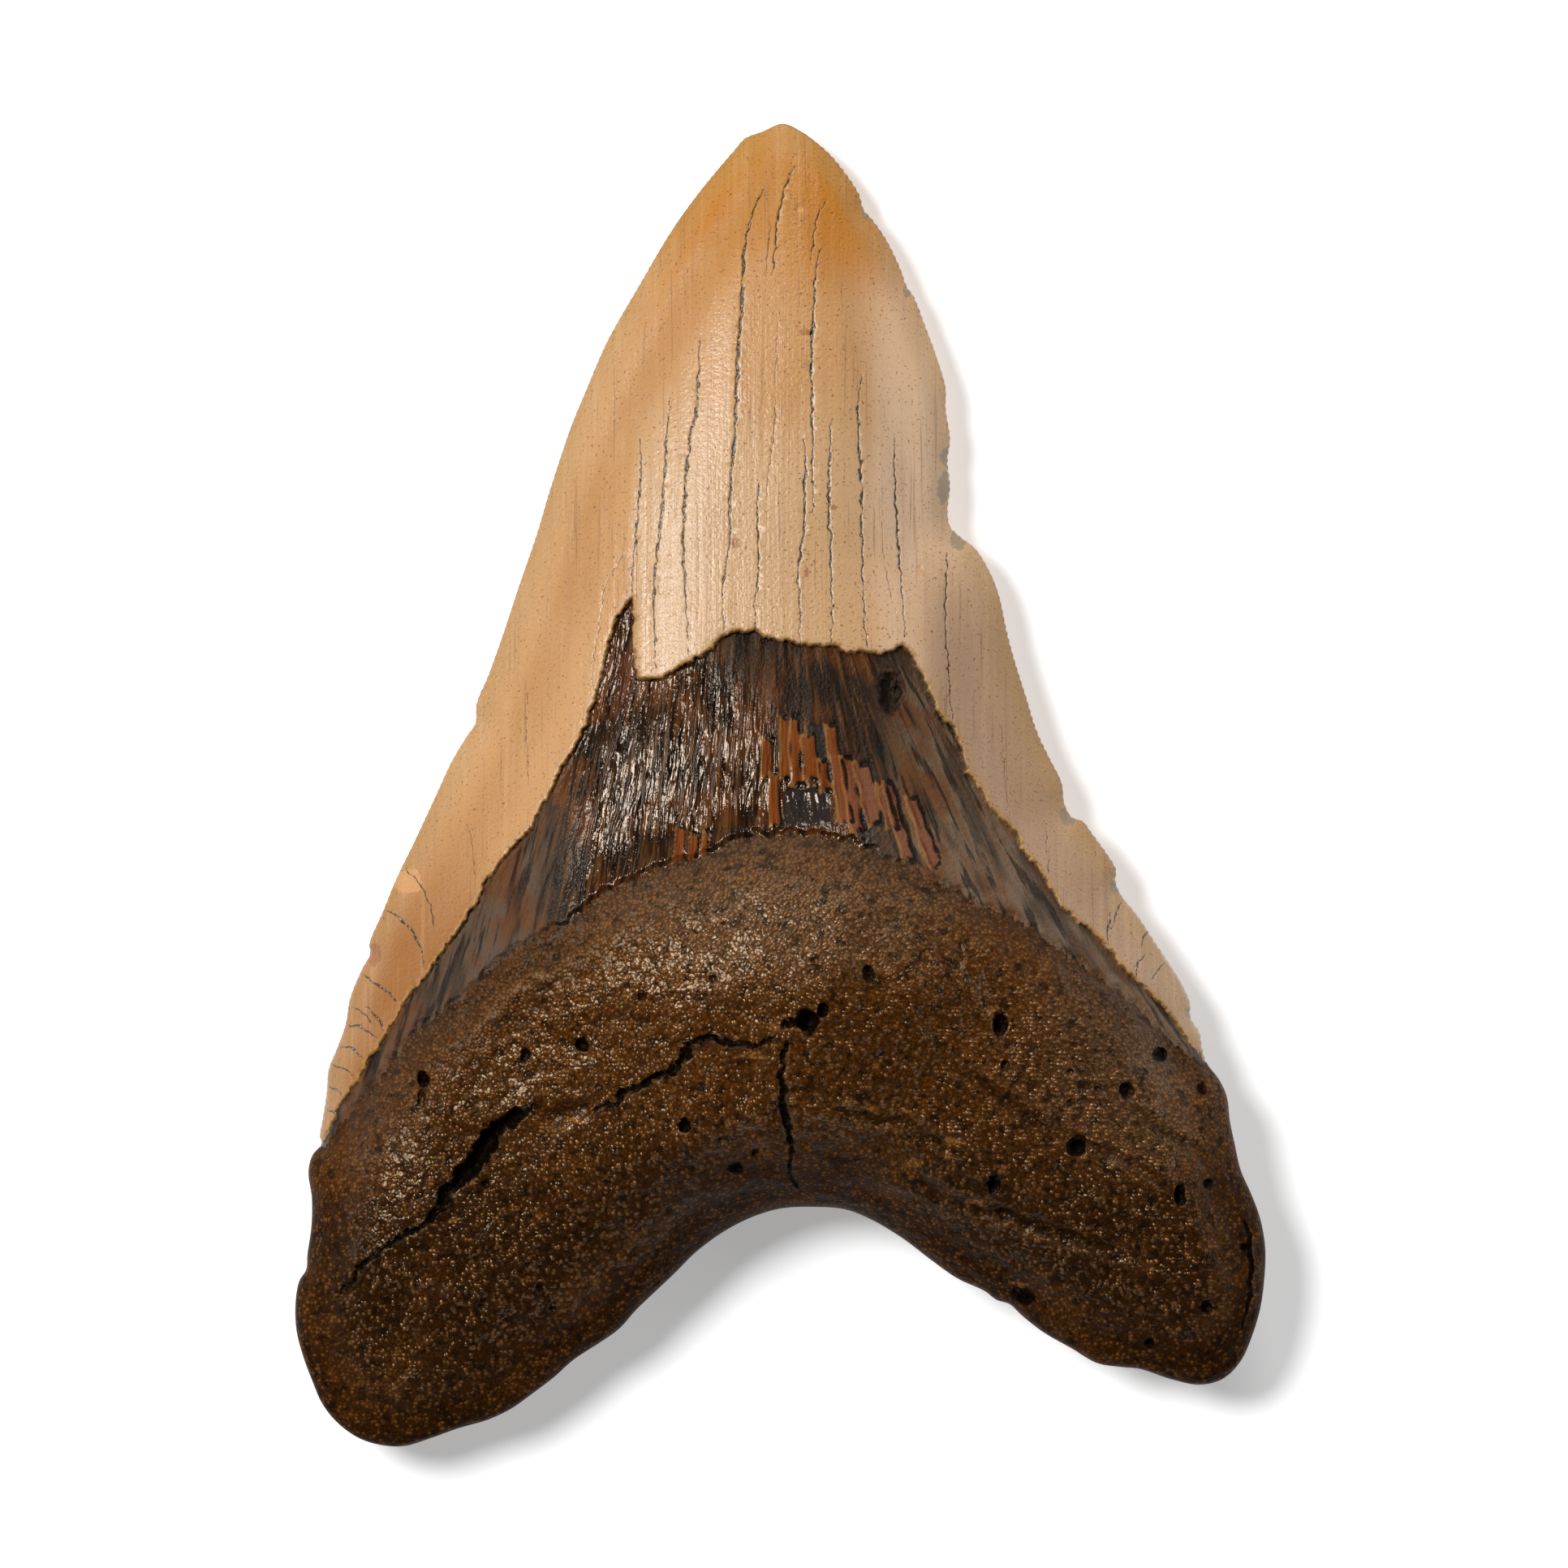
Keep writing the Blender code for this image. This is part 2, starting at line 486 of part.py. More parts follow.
def pit_ring(x, y, across, along):
    turns = np.linspace(0, 2 * math.pi, PIT_SIDES, endpoint=False)
    return np.column_stack([x + across * np.cos(turns), y + along * np.sin(turns)])


def domed_face_lines():
    # Lines that the facets of the domed face follow
    lines = [ENAMEL_MARGIN, offset_line(ENAMEL_MARGIN, ENAMEL_STEP_RUN)]
    lines += [ROOT_MARGIN, offset_line(ROOT_MARGIN, BOURLETTE_STEP_RUN)]
    for route, width, _ in all_cracks():
        middle = even_points(smooth_line(route), CRACK_STEP)
        half = crack_width(np.linspace(0, 1, len(middle)), width)[:, None] / 2
        lines += [middle, offset_line(middle, half), offset_line(middle, -half)]
    for x, y, across, along, _ in PITS:
        ring = pit_ring(x, y, across, along)
        lines.append(np.vstack([ring, ring[:1]]))
    return lines


def flat_face_lines():
    turns = np.linspace(0, 2 * math.pi, REST_SIDES + 1)
    rest = np.column_stack([np.cos(turns), np.sin(turns)]) * REST_RADIUS + REST_CENTRE
    furrow = [offset_line(LABIAL_MARGIN, -share * FLAT_FURROW_WIDTH) for share in FURROW_LINES]
    return [LABIAL_MARGIN, offset_line(LABIAL_MARGIN, FLAT_ENAMEL_STEP_RUN), rest] + furrow


def triangulate(lines, dots, grid):
    # Facets of one face in plan: the outline, the lines, then points that fill the rest
    points = [OUTLINE]
    edges = []
    count = len(OUTLINE)
    for line in lines:
        room, _ = nearest_on(line, np.vstack([OUTLINE, OUTLINE[:1]]))
        keep = inside(line, OUTLINE) & (room > LINE_CLEARANCE)
        edges += [(count + i, count + i + 1) for i in range(len(line) - 1) if keep[i] and keep[i + 1]]
        points.append(np.where(keep[:, None], line, OUTLINE[0]))
        count += len(line)
    placed = np.vstack(points)
    fill = hex_grid(grid)
    fill = fill[inside(fill, OUTLINE)]
    wanted = [
        (dots, LEAST_GAP),
        (inset_rows(EDGE_ROWS[:1]), ROW_GAP),
        (inset_rows(EDGE_ROWS[1:]), grid * ROW_GAP_SHARE),
        (fill, grid * FILL_GAP_SHARE),
    ]
    for candidates, room in wanted:
        if len(candidates):
            placed = np.vstack([placed, spaced(candidates, placed, room)])
    loop = list(range(len(OUTLINE)))
    result = delaunay_2d_cdt([Vector(p) for p in placed], edges, [loop], 1, SAME_PLACE)
    return np.array([tuple(v) for v in result[0]]), [tuple(face) for face in result[2]]


def tooth_mesh():
    pit_centres = np.array([(x, y) for x, y, *_ in PITS])
    top, top_faces = triangulate(domed_face_lines(), pit_centres, TOP_GRID)
    flat, flat_faces = triangulate(flat_face_lines(), [], FLAT_GRID)
    vertices = np.vstack([
        np.column_stack([top, domed_face(top)]),
        np.column_stack([flat, flat_face(flat)]),
    ])
    rim = rim_pairs(top, flat)
    vertices[list(rim)] = np.column_stack([top[list(rim)], edge_height(top[list(rim)])])
    shared = {len(top) + low: high for high, low in rim.items()}
    faces = list(top_faces)
    for face in flat_faces:
        corners = [len(top) + i for i in reversed(face)]
        faces.append(tuple(shared.get(i, i) for i in corners))
    return vertices, faces


def rim_pairs(top, flat):
    # Outline points of the domed face matched with those of the flat face
    places = {tuple(np.round(p, 4)): i for i, p in enumerate(flat)}
    pairs = {}
    for i, p in enumerate(top):
        if np.abs(OUTLINE - p).sum(axis=1).min() < SAME_PLACE:
            pairs[i] = places[tuple(np.round(p, 4))]
    return pairs


def facet_finishes(vertices, faces):
    corners = vertices[np.array(faces)]
    middles = corners.mean(axis=1)[:, :2]
    turn = np.cross(corners[:, 1] - corners[:, 0], corners[:, 2] - corners[:, 0])
    domed = turn[:, 2] > 0
    finish = np.where(beside(middles, ROOT_MARGIN, 1) > 0, BOURLETTE, ROOT)
    finish = np.where(beside(middles, ENAMEL_MARGIN, 1) > 0, ENAMEL, finish)
    under = np.where(beside(middles, LABIAL_MARGIN, 1) > 0, ENAMEL, ROOT)
    return np.where(domed, finish, under)


def material(name, colour, roughness):
    made = bpy.data.materials.new(name)
    made.use_nodes = True
    shader = made.node_tree.nodes["Principled BSDF"]
    shader.inputs["Base Color"].default_value = colour
    shader.inputs["Roughness"].default_value = roughness
    made.diffuse_color = colour
    return made


def make_tooth():
    vertices, faces = tooth_mesh()
    mesh = bpy.data.meshes.new("tooth")
    mesh.from_pydata((vertices * MM).tolist(), [], faces)
    for name, colour, roughness in FINISHES:
        mesh.materials.append(material(name, colour, roughness))
    mesh.polygons.foreach_set("material_index", facet_finishes(vertices, faces).astype(np.int32))
    mesh.validate()
    mesh.shade_smooth()
    tooth = bpy.data.objects.new("tooth", mesh)
    bpy.context.scene.collection.objects.link(tooth)
    return tooth


for old in list(bpy.data.objects):
    bpy.data.objects.remove(old)
make_tooth()
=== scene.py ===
# A fossil megalodon tooth on a pale table, seen from straight above, tip upwards.
# Lengths are in millimetres, in the model's own frame; mm turns them into Blender's metres.

import math

import bpy
import numpy as np
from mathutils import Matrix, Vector, kdtree, noise
from mathutils.geometry import delaunay_2d_cdt


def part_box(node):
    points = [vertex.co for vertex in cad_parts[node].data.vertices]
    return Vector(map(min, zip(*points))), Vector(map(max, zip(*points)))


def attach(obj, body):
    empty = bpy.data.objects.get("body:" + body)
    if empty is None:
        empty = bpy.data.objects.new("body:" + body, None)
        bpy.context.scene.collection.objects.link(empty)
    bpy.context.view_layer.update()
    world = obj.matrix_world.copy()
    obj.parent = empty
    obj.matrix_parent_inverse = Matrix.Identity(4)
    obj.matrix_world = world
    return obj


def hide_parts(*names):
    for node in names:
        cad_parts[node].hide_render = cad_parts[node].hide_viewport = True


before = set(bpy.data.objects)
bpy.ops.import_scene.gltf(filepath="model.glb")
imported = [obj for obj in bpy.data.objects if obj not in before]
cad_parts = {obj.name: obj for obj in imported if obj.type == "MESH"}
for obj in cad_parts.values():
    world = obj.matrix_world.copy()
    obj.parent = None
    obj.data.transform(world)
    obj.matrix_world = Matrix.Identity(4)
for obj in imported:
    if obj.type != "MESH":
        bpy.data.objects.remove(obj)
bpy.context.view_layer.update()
mm = 0.001
toothLow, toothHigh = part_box("tooth")
toothWidth = (toothHigh.x - toothLow.x) / mm
toothLength = (toothHigh.y - toothLow.y) / mm
print("frame loaded:", round(toothWidth, 1), "x", round(toothLength, 1), "mm")

# outline from above: down the left cutting edge, round the root, back up the right cutting edge
outlineShape = {
    "leftCuttingEdge": [
        (0.3, 67.2), (-1.8, 66.4), (-3.6, 65.7), (-4.6, 64.6), (-6.3, 62.6), (-8.4, 60), (-11.1, 56.2),
        (-14.6, 50.3), (-17.6, 45), (-19.9, 39.7), (-21.4, 36), (-23.3, 30.3), (-24.8, 25.3), (-26.5, 20.3),
        (-28.3, 14.9), (-29.7, 11), (-30.9, 8.1), (-31, 6.2), (-31.9, 4.8), (-33.4, 2.3), (-35.3, -1.8),
        (-37.3, -6.1), (-39.1, -9.8), (-40.4, -13), (-41.75, -16.2), (-41.7, -17.3), (-42.5, -18.8),
        (-43.7, -21.7), (-44.2, -24.5), (-45.1, -27), (-45.9, -29), (-46.1, -31.3), (-46.5, -34),
        (-46.8, -35.8),
    ],
    "rootEdge": [
        (-46.6, -36.6), (-47.5, -37.7), (-47.9, -39.4), (-47.55, -42), (-47.6, -45), (-48, -47.8),
        (-48.1, -49.3), (-48.8, -50.4), (-49.2, -52.6), (-49.1, -55.5), (-48.4, -58.2), (-47.5, -60.6),
        (-46.5, -62.9), (-44.9, -64.9), (-42.6, -66.5), (-40, -67.2), (-38, -67.2), (-35.4, -66.4),
        (-32.6, -65.4), (-29.8, -64.6), (-27.4, -63.5), (-25, -61.8), (-22.9, -60.2), (-21, -58.5),
        (-18.4, -56.8), (-16.3, -55.3), (-14.6, -53.4), (-12.5, -51.4), (-10.6, -49.6), (-8.6, -47.6),
        (-5.6, -45.4), (-2.6, -43.9), (0.2, -43.1), (3.4, -42.95), (6.6, -43.2), (9.2, -44.2), (12.4, -46.1),
        (15.3, -48.3), (18, -50.2), (20.8, -51.5), (22, -52.4), (23.3, -52.8), (24.6, -54), (26.8, -55.7),
        (29.6, -57.3), (32.2, -58.8), (34.6, -59.2), (36.6, -59.4), (39.6, -60.4), (42.6, -61), (45, -60.4),
        (46.8, -58.6), (47.9, -56.2), (48.8, -53.2), (49.2, -50.2), (49.3, -47.2), (48.8, -44.2),
        (47.9, -41.7), (46.8, -39.2), (46.2, -36.6), (45.7, -34.2), (45.4, -31.8), (44.6, -30),
        (43.4, -28.4),
    ],
    "rightCuttingEdge": [
        (42.95, -26.8), (42.7, -25.3), (41.8, -23.8), (41.7, -22.2), (40.8, -20.2), (39.3, -17.8),
        (37.6, -15.2), (36.4, -13.4), (34.7, -11.3), (34.15, -9.9), (34.2, -8.7), (33.2, -7), (31.8, -5.1),
        (30.8, -3.8), (29.7, -3.4), (28.95, -2), (28.7, 0), (27.4, 2.7), (26.2, 5.3), (25.1, 8.7),
        (24, 12.2), (23.1, 15.6), (22.3, 19.2), (21.4, 21.5), (19.9, 23.9), (18.5, 25), (17.4, 26.1),
        (17.1, 27.6), (17.35, 30.2), (17.1, 32.9), (17.35, 35), (16.9, 38.2), (16.9, 40.2), (15.9, 43.6),
        (14.7, 46.9), (13.6, 49.7), (13, 50.5), (12.3, 52.4), (10.9, 55.3), (9.4, 57.5), (8.6, 58.4),
        (8.1, 60), (6.9, 61.9), (5.2, 64), (3.6, 65.4), (2.2, 66.4),
    ],
}

# margins that cross the tooth from left to right
margins = {
    "enamelLeftFlank": [
        (-46.6, -36.6), (-45.6, -34.8), (-44.6, -32.6), (-43.2, -30.8), (-41.8, -28.3), (-40.2, -26),
        (-38.6, -23.6), (-37.7, -21.6), (-36.3, -20.3), (-35.2, -18.6), (-34, -16.9), (-32.8, -15.3),
        (-31.5, -13.4), (-30.4, -11.6), (-29.7, -9.9), (-28.2, -8.1), (-26.6, -6), (-25.3, -4.8),
        (-24.1, -2.6), (-22.9, -0.4), (-21.9, 1.8), (-20.5, 3.8), (-19.5, 6.2), (-18.4, 9.2), (-17.6, 12.4),
        (-16.9, 15.3), (-16.2, 17), (-15, 18.7),
    ],
    "enamelCentre": [
        (-15, 18.7), (-15, 15), (-14.8, 12), (-14.4, 10.8), (-13.2, 10.4), (-11.6, 10.8), (-9.4, 12),
        (-7.4, 13.2), (-6, 14.4), (-5, 15.2), (-2.6, 15.1), (-0.6, 14.5), (2.2, 13.9), (5.2, 13.8),
        (6.8, 13.1), (8.4, 13.3), (10.2, 13), (11.4, 13.5), (12.3, 14),
    ],
    "enamelRightFlank": [
        (12.3, 14), (13.2, 12.8), (14.2, 11), (15.2, 8.8), (16.3, 6.6), (17.4, 5.5), (18.2, 3.4), (19, 1),
        (20.3, -1), (21.8, -3.2), (23.4, -4.5), (24.3, -6.4), (25.6, -8), (26.6, -9.4), (27.6, -11.2),
        (28.8, -12.9), (30.6, -14.3), (32.2, -15.6), (33.2, -16.8), (34.6, -18.6), (36.1, -20),
        (37.6, -21.6), (39.2, -23.2), (40.8, -25.3), (42.1, -27), (43.2, -28.2),
    ],
    "bourletteEnd": [
        (-46.6, -36.8), (-44.2, -34), (-41.6, -31), (-39.2, -27.8), (-37.2, -25.4), (-35, -23.6),
        (-33, -22.2), (-31.2, -20.7), (-29.6, -19), (-28.2, -17.7), (-26.2, -16.3), (-24.4, -15.4),
        (-22.6, -14.6), (-21, -13.7), (-19.6, -12.3), (-18.2, -11.2), (-16.4, -10.2), (-14.6, -9.6),
        (-12.6, -8.6), (-10.4, -7.8), (-8.2, -7.4), (-6.4, -6.6), (-4.8, -5.6), (-2.4, -5.3), (0.4, -5),
        (3.2, -5.1), (6, -5.6), (8.2, -6.3), (10.2, -7.3), (12.6, -8.2), (14.6, -9.2), (16.8, -10.2),
        (18.6, -11.2), (20.6, -12.4), (23.2, -13.3), (25.2, -14.5), (27.2, -16), (29.4, -17.4), (31.6, -19),
        (33.8, -20.5), (36, -22.4), (38.2, -24.6), (40.4, -26.6), (43.3, -28.4),
    ],
    "flatFaceArch": [
        (-46.6, -36.6), (-41, -24.5), (-33, -13), (-23, -4.2), (-12, 0.8), (0, 2.4), (11, 1.4), (21, -3),
        (30, -10.6), (37, -19), (43.3, -28.3),
    ],
}

# heights, as (place along the blade, value) stations
crown = {
    "edgeHeight": [(70, 3.6), (60, 4.4), (40, 5.2), (20, 5.8), (0, 6.4), (-40, 7.2)],
    "dome": [
        (67.5, 0.2), (64, 1.9), (58, 4), (50, 6.2), (40, 8.2), (30, 9.7), (20, 11),
        (10, 12.4), (0, 14), (-20, 16), (-70, 17),
    ],
    "halfWidth": [
        (67.5, 0.8), (64, 5.2), (58, 9.4), (50, 14), (40, 18.3), (30, 20.4), (20, 24.2),
        (10, 27.4), (0, 29.5), (-70, 31),
    ],
    "fullness": 1.4,
    "crestSoftness": 0.14,
    "hollow": (0.45, 4.6, 1.9),  # depth, distance in from the edge, width
    "toRoot": (-13, 8),
    "toRootEdge": (-5, 5),
    "middleDepthShare": 0.7071,
}
root = {
    "edgeHeight": 8.6,
    "backHeight": 18.2,
    "lobeDrop": 4.6,
    "lobeFall": (38, 66),
    "bossCentre": (1, -21),
    "bossSpread": (24, 18),
    "bossRise": 8.2,
    "rounding": 12,
    "lumps": [(13, 0.8, 3.1), (4.2, 0.28, 8.4)],  # size, height, seed
}
flatFace = {
    "restCentre": (0.5, -23),
    "restRadius": (25, 15),
    "liftSlope": 0.045,
    "liftStart": 12,
    "rounding": 9,
    "furrow": (1.1, 7),  # depth, width
    "enamelStep": (0.5, 0.6),  # height, run
    "curlChange": 4,
}
steps = {
    "enamel": 0.62,
    "enamelCliff": 0.16,  # the broken face itself
    "enamelShoulder": 0.5,  # where the worn top of the break is level again
    "cliffShare": 0.72,  # of the step's height
    "bourlette": 0.5,
    "bourletteRun": 0.6,
    "fromEdge": (0.2, 2.5),
}

# open cracks of the enamel: route, greatest width, depth
crownCracks = {
    "centreLeft": ([
        (-1.7, 60.5), (-2.6, 58.7), (-3.2, 56.6), (-3.6, 54.6), (-3.8, 51.5), (-3.9, 48.5), (-4.1, 46),
        (-4.3, 43), (-4.4, 40), (-4.5, 37.5), (-4.6, 35), (-4.8, 33), (-5, 30.5), (-5.1, 28), (-5.1, 25),
        (-5.5, 22), (-5.8, 19.5), (-5.8, 17), (-5.6, 15.4)], 0.52, 0.55),
    "tip": ([
        (1.5, 63), (0.9, 61.8), (0.4, 60.2), (0, 58.5), (-0.3, 57), (-0.5, 55), (-0.7, 53.5), (-0.8, 51.5),
    ], 0.3, 0.25),
    "tipSide": ([(-1.1, 57), (-1.2, 55), (-1.4, 53), (-1.6, 51.5)], 0.16, 0.1),
    "rightTop": ([(4.6, 59), (3.9, 57.9), (3.5, 56.5), (3.3, 55), (3.1, 53)], 0.22, 0.2),
    "centreRight": ([
        (4, 54), (3.6, 51.8), (3.5, 50), (3.4, 47.8), (3.2, 45.8), (3.2, 44), (3.1, 42), (3.2, 40),
        (3.2, 37), (3.3, 34.5), (3.2, 32.5), (3.3, 30), (3.4, 27)], 0.42, 0.5),
    "middle": ([
        (2.4, 35), (2.6, 32), (2.4, 30), (2.5, 27.5), (2.3, 25), (2, 23), (1.8, 21), (1.9, 19), (2.1, 17),
        (1.9, 15.5), (2, 14.3)], 0.36, 0.4),
    "right": ([
        (5.2, 37), (5, 33.5), (4.9, 30), (4.9, 27), (5.1, 24), (5.1, 21), (5.3, 18), (5.2, 15.5),
        (5.2, 14.2)], 0.36, 0.4),
    "farRight": ([
        (8.2, 41), (7.9, 38.4), (7.9, 36), (8, 33.5), (8.2, 30), (8.2, 27), (8.3, 24), (8.3, 21), (8.5, 18),
        (8.6, 15.5), (8.7, 14)], 0.34, 0.35),
    "faintRight": ([(10.3, 30), (10.3, 26), (10.5, 23), (11, 20), (11.5, 18), (11.9, 16.5)], 0.14, 0.1),
    "shoulderRight": ([
        (11.6, 35), (11.6, 30), (11.8, 26.5), (12, 23.5), (12.3, 20), (12.5, 17), (12.6, 14.8)], 0.32, 0.3),
    "flankRight": ([
        (16.9, 23), (16.8, 20), (16.7, 17), (16.8, 14), (17, 12), (17.2, 9.5), (17.4, 7), (17.5, 5.8),
    ], 0.24, 0.2),
    "left": ([
        (-8.2, 45), (-8.3, 41), (-8.4, 38.6), (-9, 35.5), (-9.4, 32.5), (-9.6, 30), (-9.7, 27), (-9.8, 24.5),
        (-9.7, 22), (-9.6, 20), (-9.5, 18), (-9.3, 15.5), (-9.2, 13)], 0.36, 0.4),
    "farLeft": ([
        (-11.2, 39), (-11.4, 36), (-11.6, 33), (-11.8, 30), (-12, 27), (-12.3, 25), (-12.6, 22), (-12.8, 19),
        (-12.7, 16), (-12.6, 13), (-12.5, 11.6)], 0.36, 0.35),
    "shoulderLeft": ([
        (-14.2, 35), (-14.1, 31), (-14.3, 29), (-14.5, 26), (-14.8, 23), (-15, 20.5), (-15, 19.4),
    ], 0.3, 0.3),
    "hairTop": ([(-0.2, 48), (-0.4, 44), (-0.6, 41)], 0.12, 0.08),
    "hairMiddle": ([(-0.4, 38.5), (-0.6, 35.5), (-1.1, 32), (-1.4, 29)], 0.16, 0.12),
    "centre": ([
        (-2.3, 30), (-2.3, 27), (-2.2, 24), (-2.2, 21), (-2.5, 19), (-2.6, 17), (-2.4, 15.6)], 0.3, 0.3),
    "leftHair": ([(-16, 23), (-17.7, 20), (-18.3, 16), (-19, 12), (-19, 10)], 0.14, 0.1),
    "leftLow": ([(-25.7, 9), (-25.8, 6), (-25.6, 3), (-25.5, 0)], 0.12, 0.08),
    "leftLower": ([(-31.8, -4), (-31.2, -6), (-31, -9)], 0.12, 0.08),
    "rightLow": ([(22.4, 6), (22.7, 2), (23, -2), (23.4, -4)], 0.12, 0.08),
    "rightLower": ([(26.9, -4), (27.2, -9)], 0.12, 0.08),
    "cornerLeft1": ([
        (-40.1, -12.8), (-39, -13.3), (-38, -14.2), (-37, -15.5), (-36.3, -17), (-36, -18.7)], 0.34, 0.15),
    "cornerLeft2": ([
        (-42.4, -19.3), (-41.5, -20), (-40.5, -20.6), (-39.3, -21.5), (-38.7, -22.3)], 0.4, 0.2),
    "cornerLeft3": ([(-42, -22.4), (-41, -23.4), (-40.2, -24.9)], 0.3, 0.15),
    "cornerLeft4": ([(-44, -24.5), (-42.7, -24.6), (-41.5, -25.3), (-40.6, -25.8)], 0.4, 0.2),
    "cornerLeft5": ([(-44.9, -26.6), (-43.6, -26.8), (-42.4, -27.6)], 0.36, 0.15),
    "cornerLeft6": ([(-45.4, -28.6), (-44.5, -28.8), (-43.2, -29.6)], 0.3, 0.15),
    "cornerLeft7": ([(-45.8, -30.6), (-44.9, -31), (-44.2, -31.8)], 0.34, 0.15),
    "cornerLeft8": ([(-46.2, -33), (-45.4, -33.2), (-44.9, -33.8)], 0.3, 0.12),
    "cornerLeft9": ([(-43.4, -22.6), (-42.4, -23.2), (-41.4, -24.2)], 0.26, 0.1),
    "cornerLeft10": ([(-38.4, -8.2), (-37, -9.6), (-35.6, -12), (-35, -14.4)], 0.24, 0.1),
    "cornerRight1": ([(33.4, -13), (33.2, -15), (33.1, -16.2)], 0.3, 0.12),
    "cornerRight2": ([(37.3, -14.9), (36.9, -15.6), (36.6, -16.6)], 0.3, 0.15),
    "cornerRight3": ([(37, -17.3), (36.2, -18.3), (36, -19.6)], 0.34, 0.15),
    "cornerRight4": ([(39, -18.2), (38.3, -18.9), (37.8, -19.8)], 0.3, 0.15),
    "cornerRight5": ([(34.8, -11.8), (34.2, -12.8), (33.6, -14.6)], 0.26, 0.12),
}

# fissures of the root: route, greatest width, depth
rootFissures = {
    "leftLobe": ([
        (-24.9, -32.4), (-26.9, -33.7), (-29.2, -35.3), (-30.3, -37.4), (-32.7, -40.3), (-34.6, -42.7),
        (-35.4, -44)], 2.4, 2.4),
    "leftLobeTail": ([
        (-34.9, -43.2), (-35.9, -44.4), (-38.1, -45.5), (-40.8, -47.3), (-42.7, -49.2), (-44.5, -51.4),
    ], 0.65, 0.9),
    "underBoss": ([
        (-18.7, -33), (-17.6, -32.4), (-16.2, -31.7), (-14.6, -30.6), (-12.5, -29.5), (-10.4, -28.4),
        (-9.4, -27), (-8.4, -25.9), (-7.1, -25.6), (-5.2, -26), (-2.4, -26), (-0.6, -25.4)], 0.95, 1.2),
    "notch": ([
        (0.3, -25.6), (0.45, -27.6), (0.1, -29.5), (0.26, -32.2), (0.6, -33.7), (1, -36.1), (0.85, -37.6),
        (1.4, -39.9), (1.8, -41.2)], 0.75, 1),
    "holeGroove": ([(0.2, -24.3), (1.2, -23.9), (2.2, -24)], 1.1, 0.9),
    "lobeEdge": ([(47.3, -44), (47.6, -48), (47.6, -52), (47, -55)], 0.8, 0.5),
}

# soft creases of the root: route, width, depth
rootCreases = {
    "rightLobe": ([(15.1, -27.7), (18.9, -29.5), (22.9, -32.1), (25.9, -34.6), (29.5, -36.4)], 1.7, 0.6),
    "rightShoulder": ([(35, -31.5), (36.5, -33.6), (38.6, -35.3), (41.6, -36.6), (43.4, -38.8)], 1.3, 0.55),
    "rightCrease": ([(30.2, -36.6), (33.5, -37.6), (36, -38.6), (39.4, -41)], 1, 0.5),
    "lowRight": ([(12.5, -38.5), (16.7, -41.7), (22.7, -43.6), (31.8, -46.6), (39.3, -48.9)], 1.3, 0.5),
    "midRight": ([(2, -31.5), (6.5, -33), (12.2, -34.2), (17.5, -37), (22, -39.6)], 1.2, 0.5),
    "leftRubble": ([(-24.9, -32.2), (-22.6, -33.8), (-20.6, -32.6), (-18.7, -33)], 1.5, 0.7),
    "underMargin": ([(-34, -25.6), (-28, -20), (-22, -16.6), (-16, -13)], 1.8, 0.3),
    "fromHole": ([(4.6, -24.6), (6.6, -25.6), (8.6, -26.8)], 0.8, 0.3),
    "rightPit": ([(17.8, -15.7), (18.1, -17.2), (18.2, -18.7)], 0.7, 0.45),
}

# holes: centre, half widths across and along, depth
holes = [
    (2.8, -23.9, 0.95, 1.3, 2.4), (4.2, -22.7, 0.5, 0.5, 1.2), (8.9, -19.1, 0.6, 0.8, 0.8),
    (11, 9.2, 1.4, 2.4, 1.3), (-9.7, -34.3, 0.6, 0.7, 1), (22.2, -24.2, 0.6, 1.2, 1.2),
    (38.5, -27.3, 0.7, 0.9, 0.9), (35, -30.9, 0.7, 0.8, 0.8), (29.8, -36.5, 0.8, 0.9, 1.2),
    (21.6, -40.3, 0.8, 1.1, 1.1), (40.4, -41.6, 0.6, 1.1, 1.1), (43, -53, 0.7, 0.8, 0.9),
    (-36, -29.7, 0.6, 0.9, 1), (-25.8, -27.5, 0.5, 0.9, 0.8), (-19.9, -26.2, 0.6, 0.7, 0.9),
    (-4.5, -38.7, 0.8, 0.6, 0.8), (24.6, -52, 1.3, 0.9, 1), (-14, -21.4, 0.35, 0.35, 0.5),
    (-6.9, -19.5, 0.3, 0.35, 0.4), (3.5, -17.8, 0.3, 0.3, 0.4), (22.6, -28.4, 0.4, 0.4, 0.5),
    (42.9, -30.7, 0.4, 0.6, 0.7), (32.1, -30.8, 0.4, 0.4, 0.5), (22.5, -43.4, 0.7, 0.5, 0.4),
    (37.4, -42.3, 0.4, 0.4, 0.5), (43.4, -40.4, 0.4, 0.5, 0.6), (47, -47, 0.4, 0.5, 0.6),
    (37.5, -56.7, 0.5, 0.4, 0.6), (-36.3, -31.6, 0.3, 0.7, 0.5), (-29.8, -40.4, 0.5, 0.5, 0.6),
    (-46.1, -60.9, 0.6, 0.3, 0.5), (-39.5, -65.8, 0.4, 0.4, 0.4), (-30.3, -52.8, 0.4, 0.4, 0.5),
    (-23, -53, 0.4, 0.4, 0.5), (-2.5, -37.2, 0.35, 0.3, 0.4), (-6, -35.8, 0.3, 0.3, 0.4),
    (-17.4, -40.1, 0.35, 0.35, 0.5), (-24.3, -50.9, 0.3, 0.7, 0.5), (-30, -52.3, 0.4, 0.3, 0.5),
    (22.8, -26.4, 0.35, 0.4, 0.5), (29.2, -29, 0.3, 0.3, 0.4), (29.3, -32, 0.3, 0.3, 0.4),
]

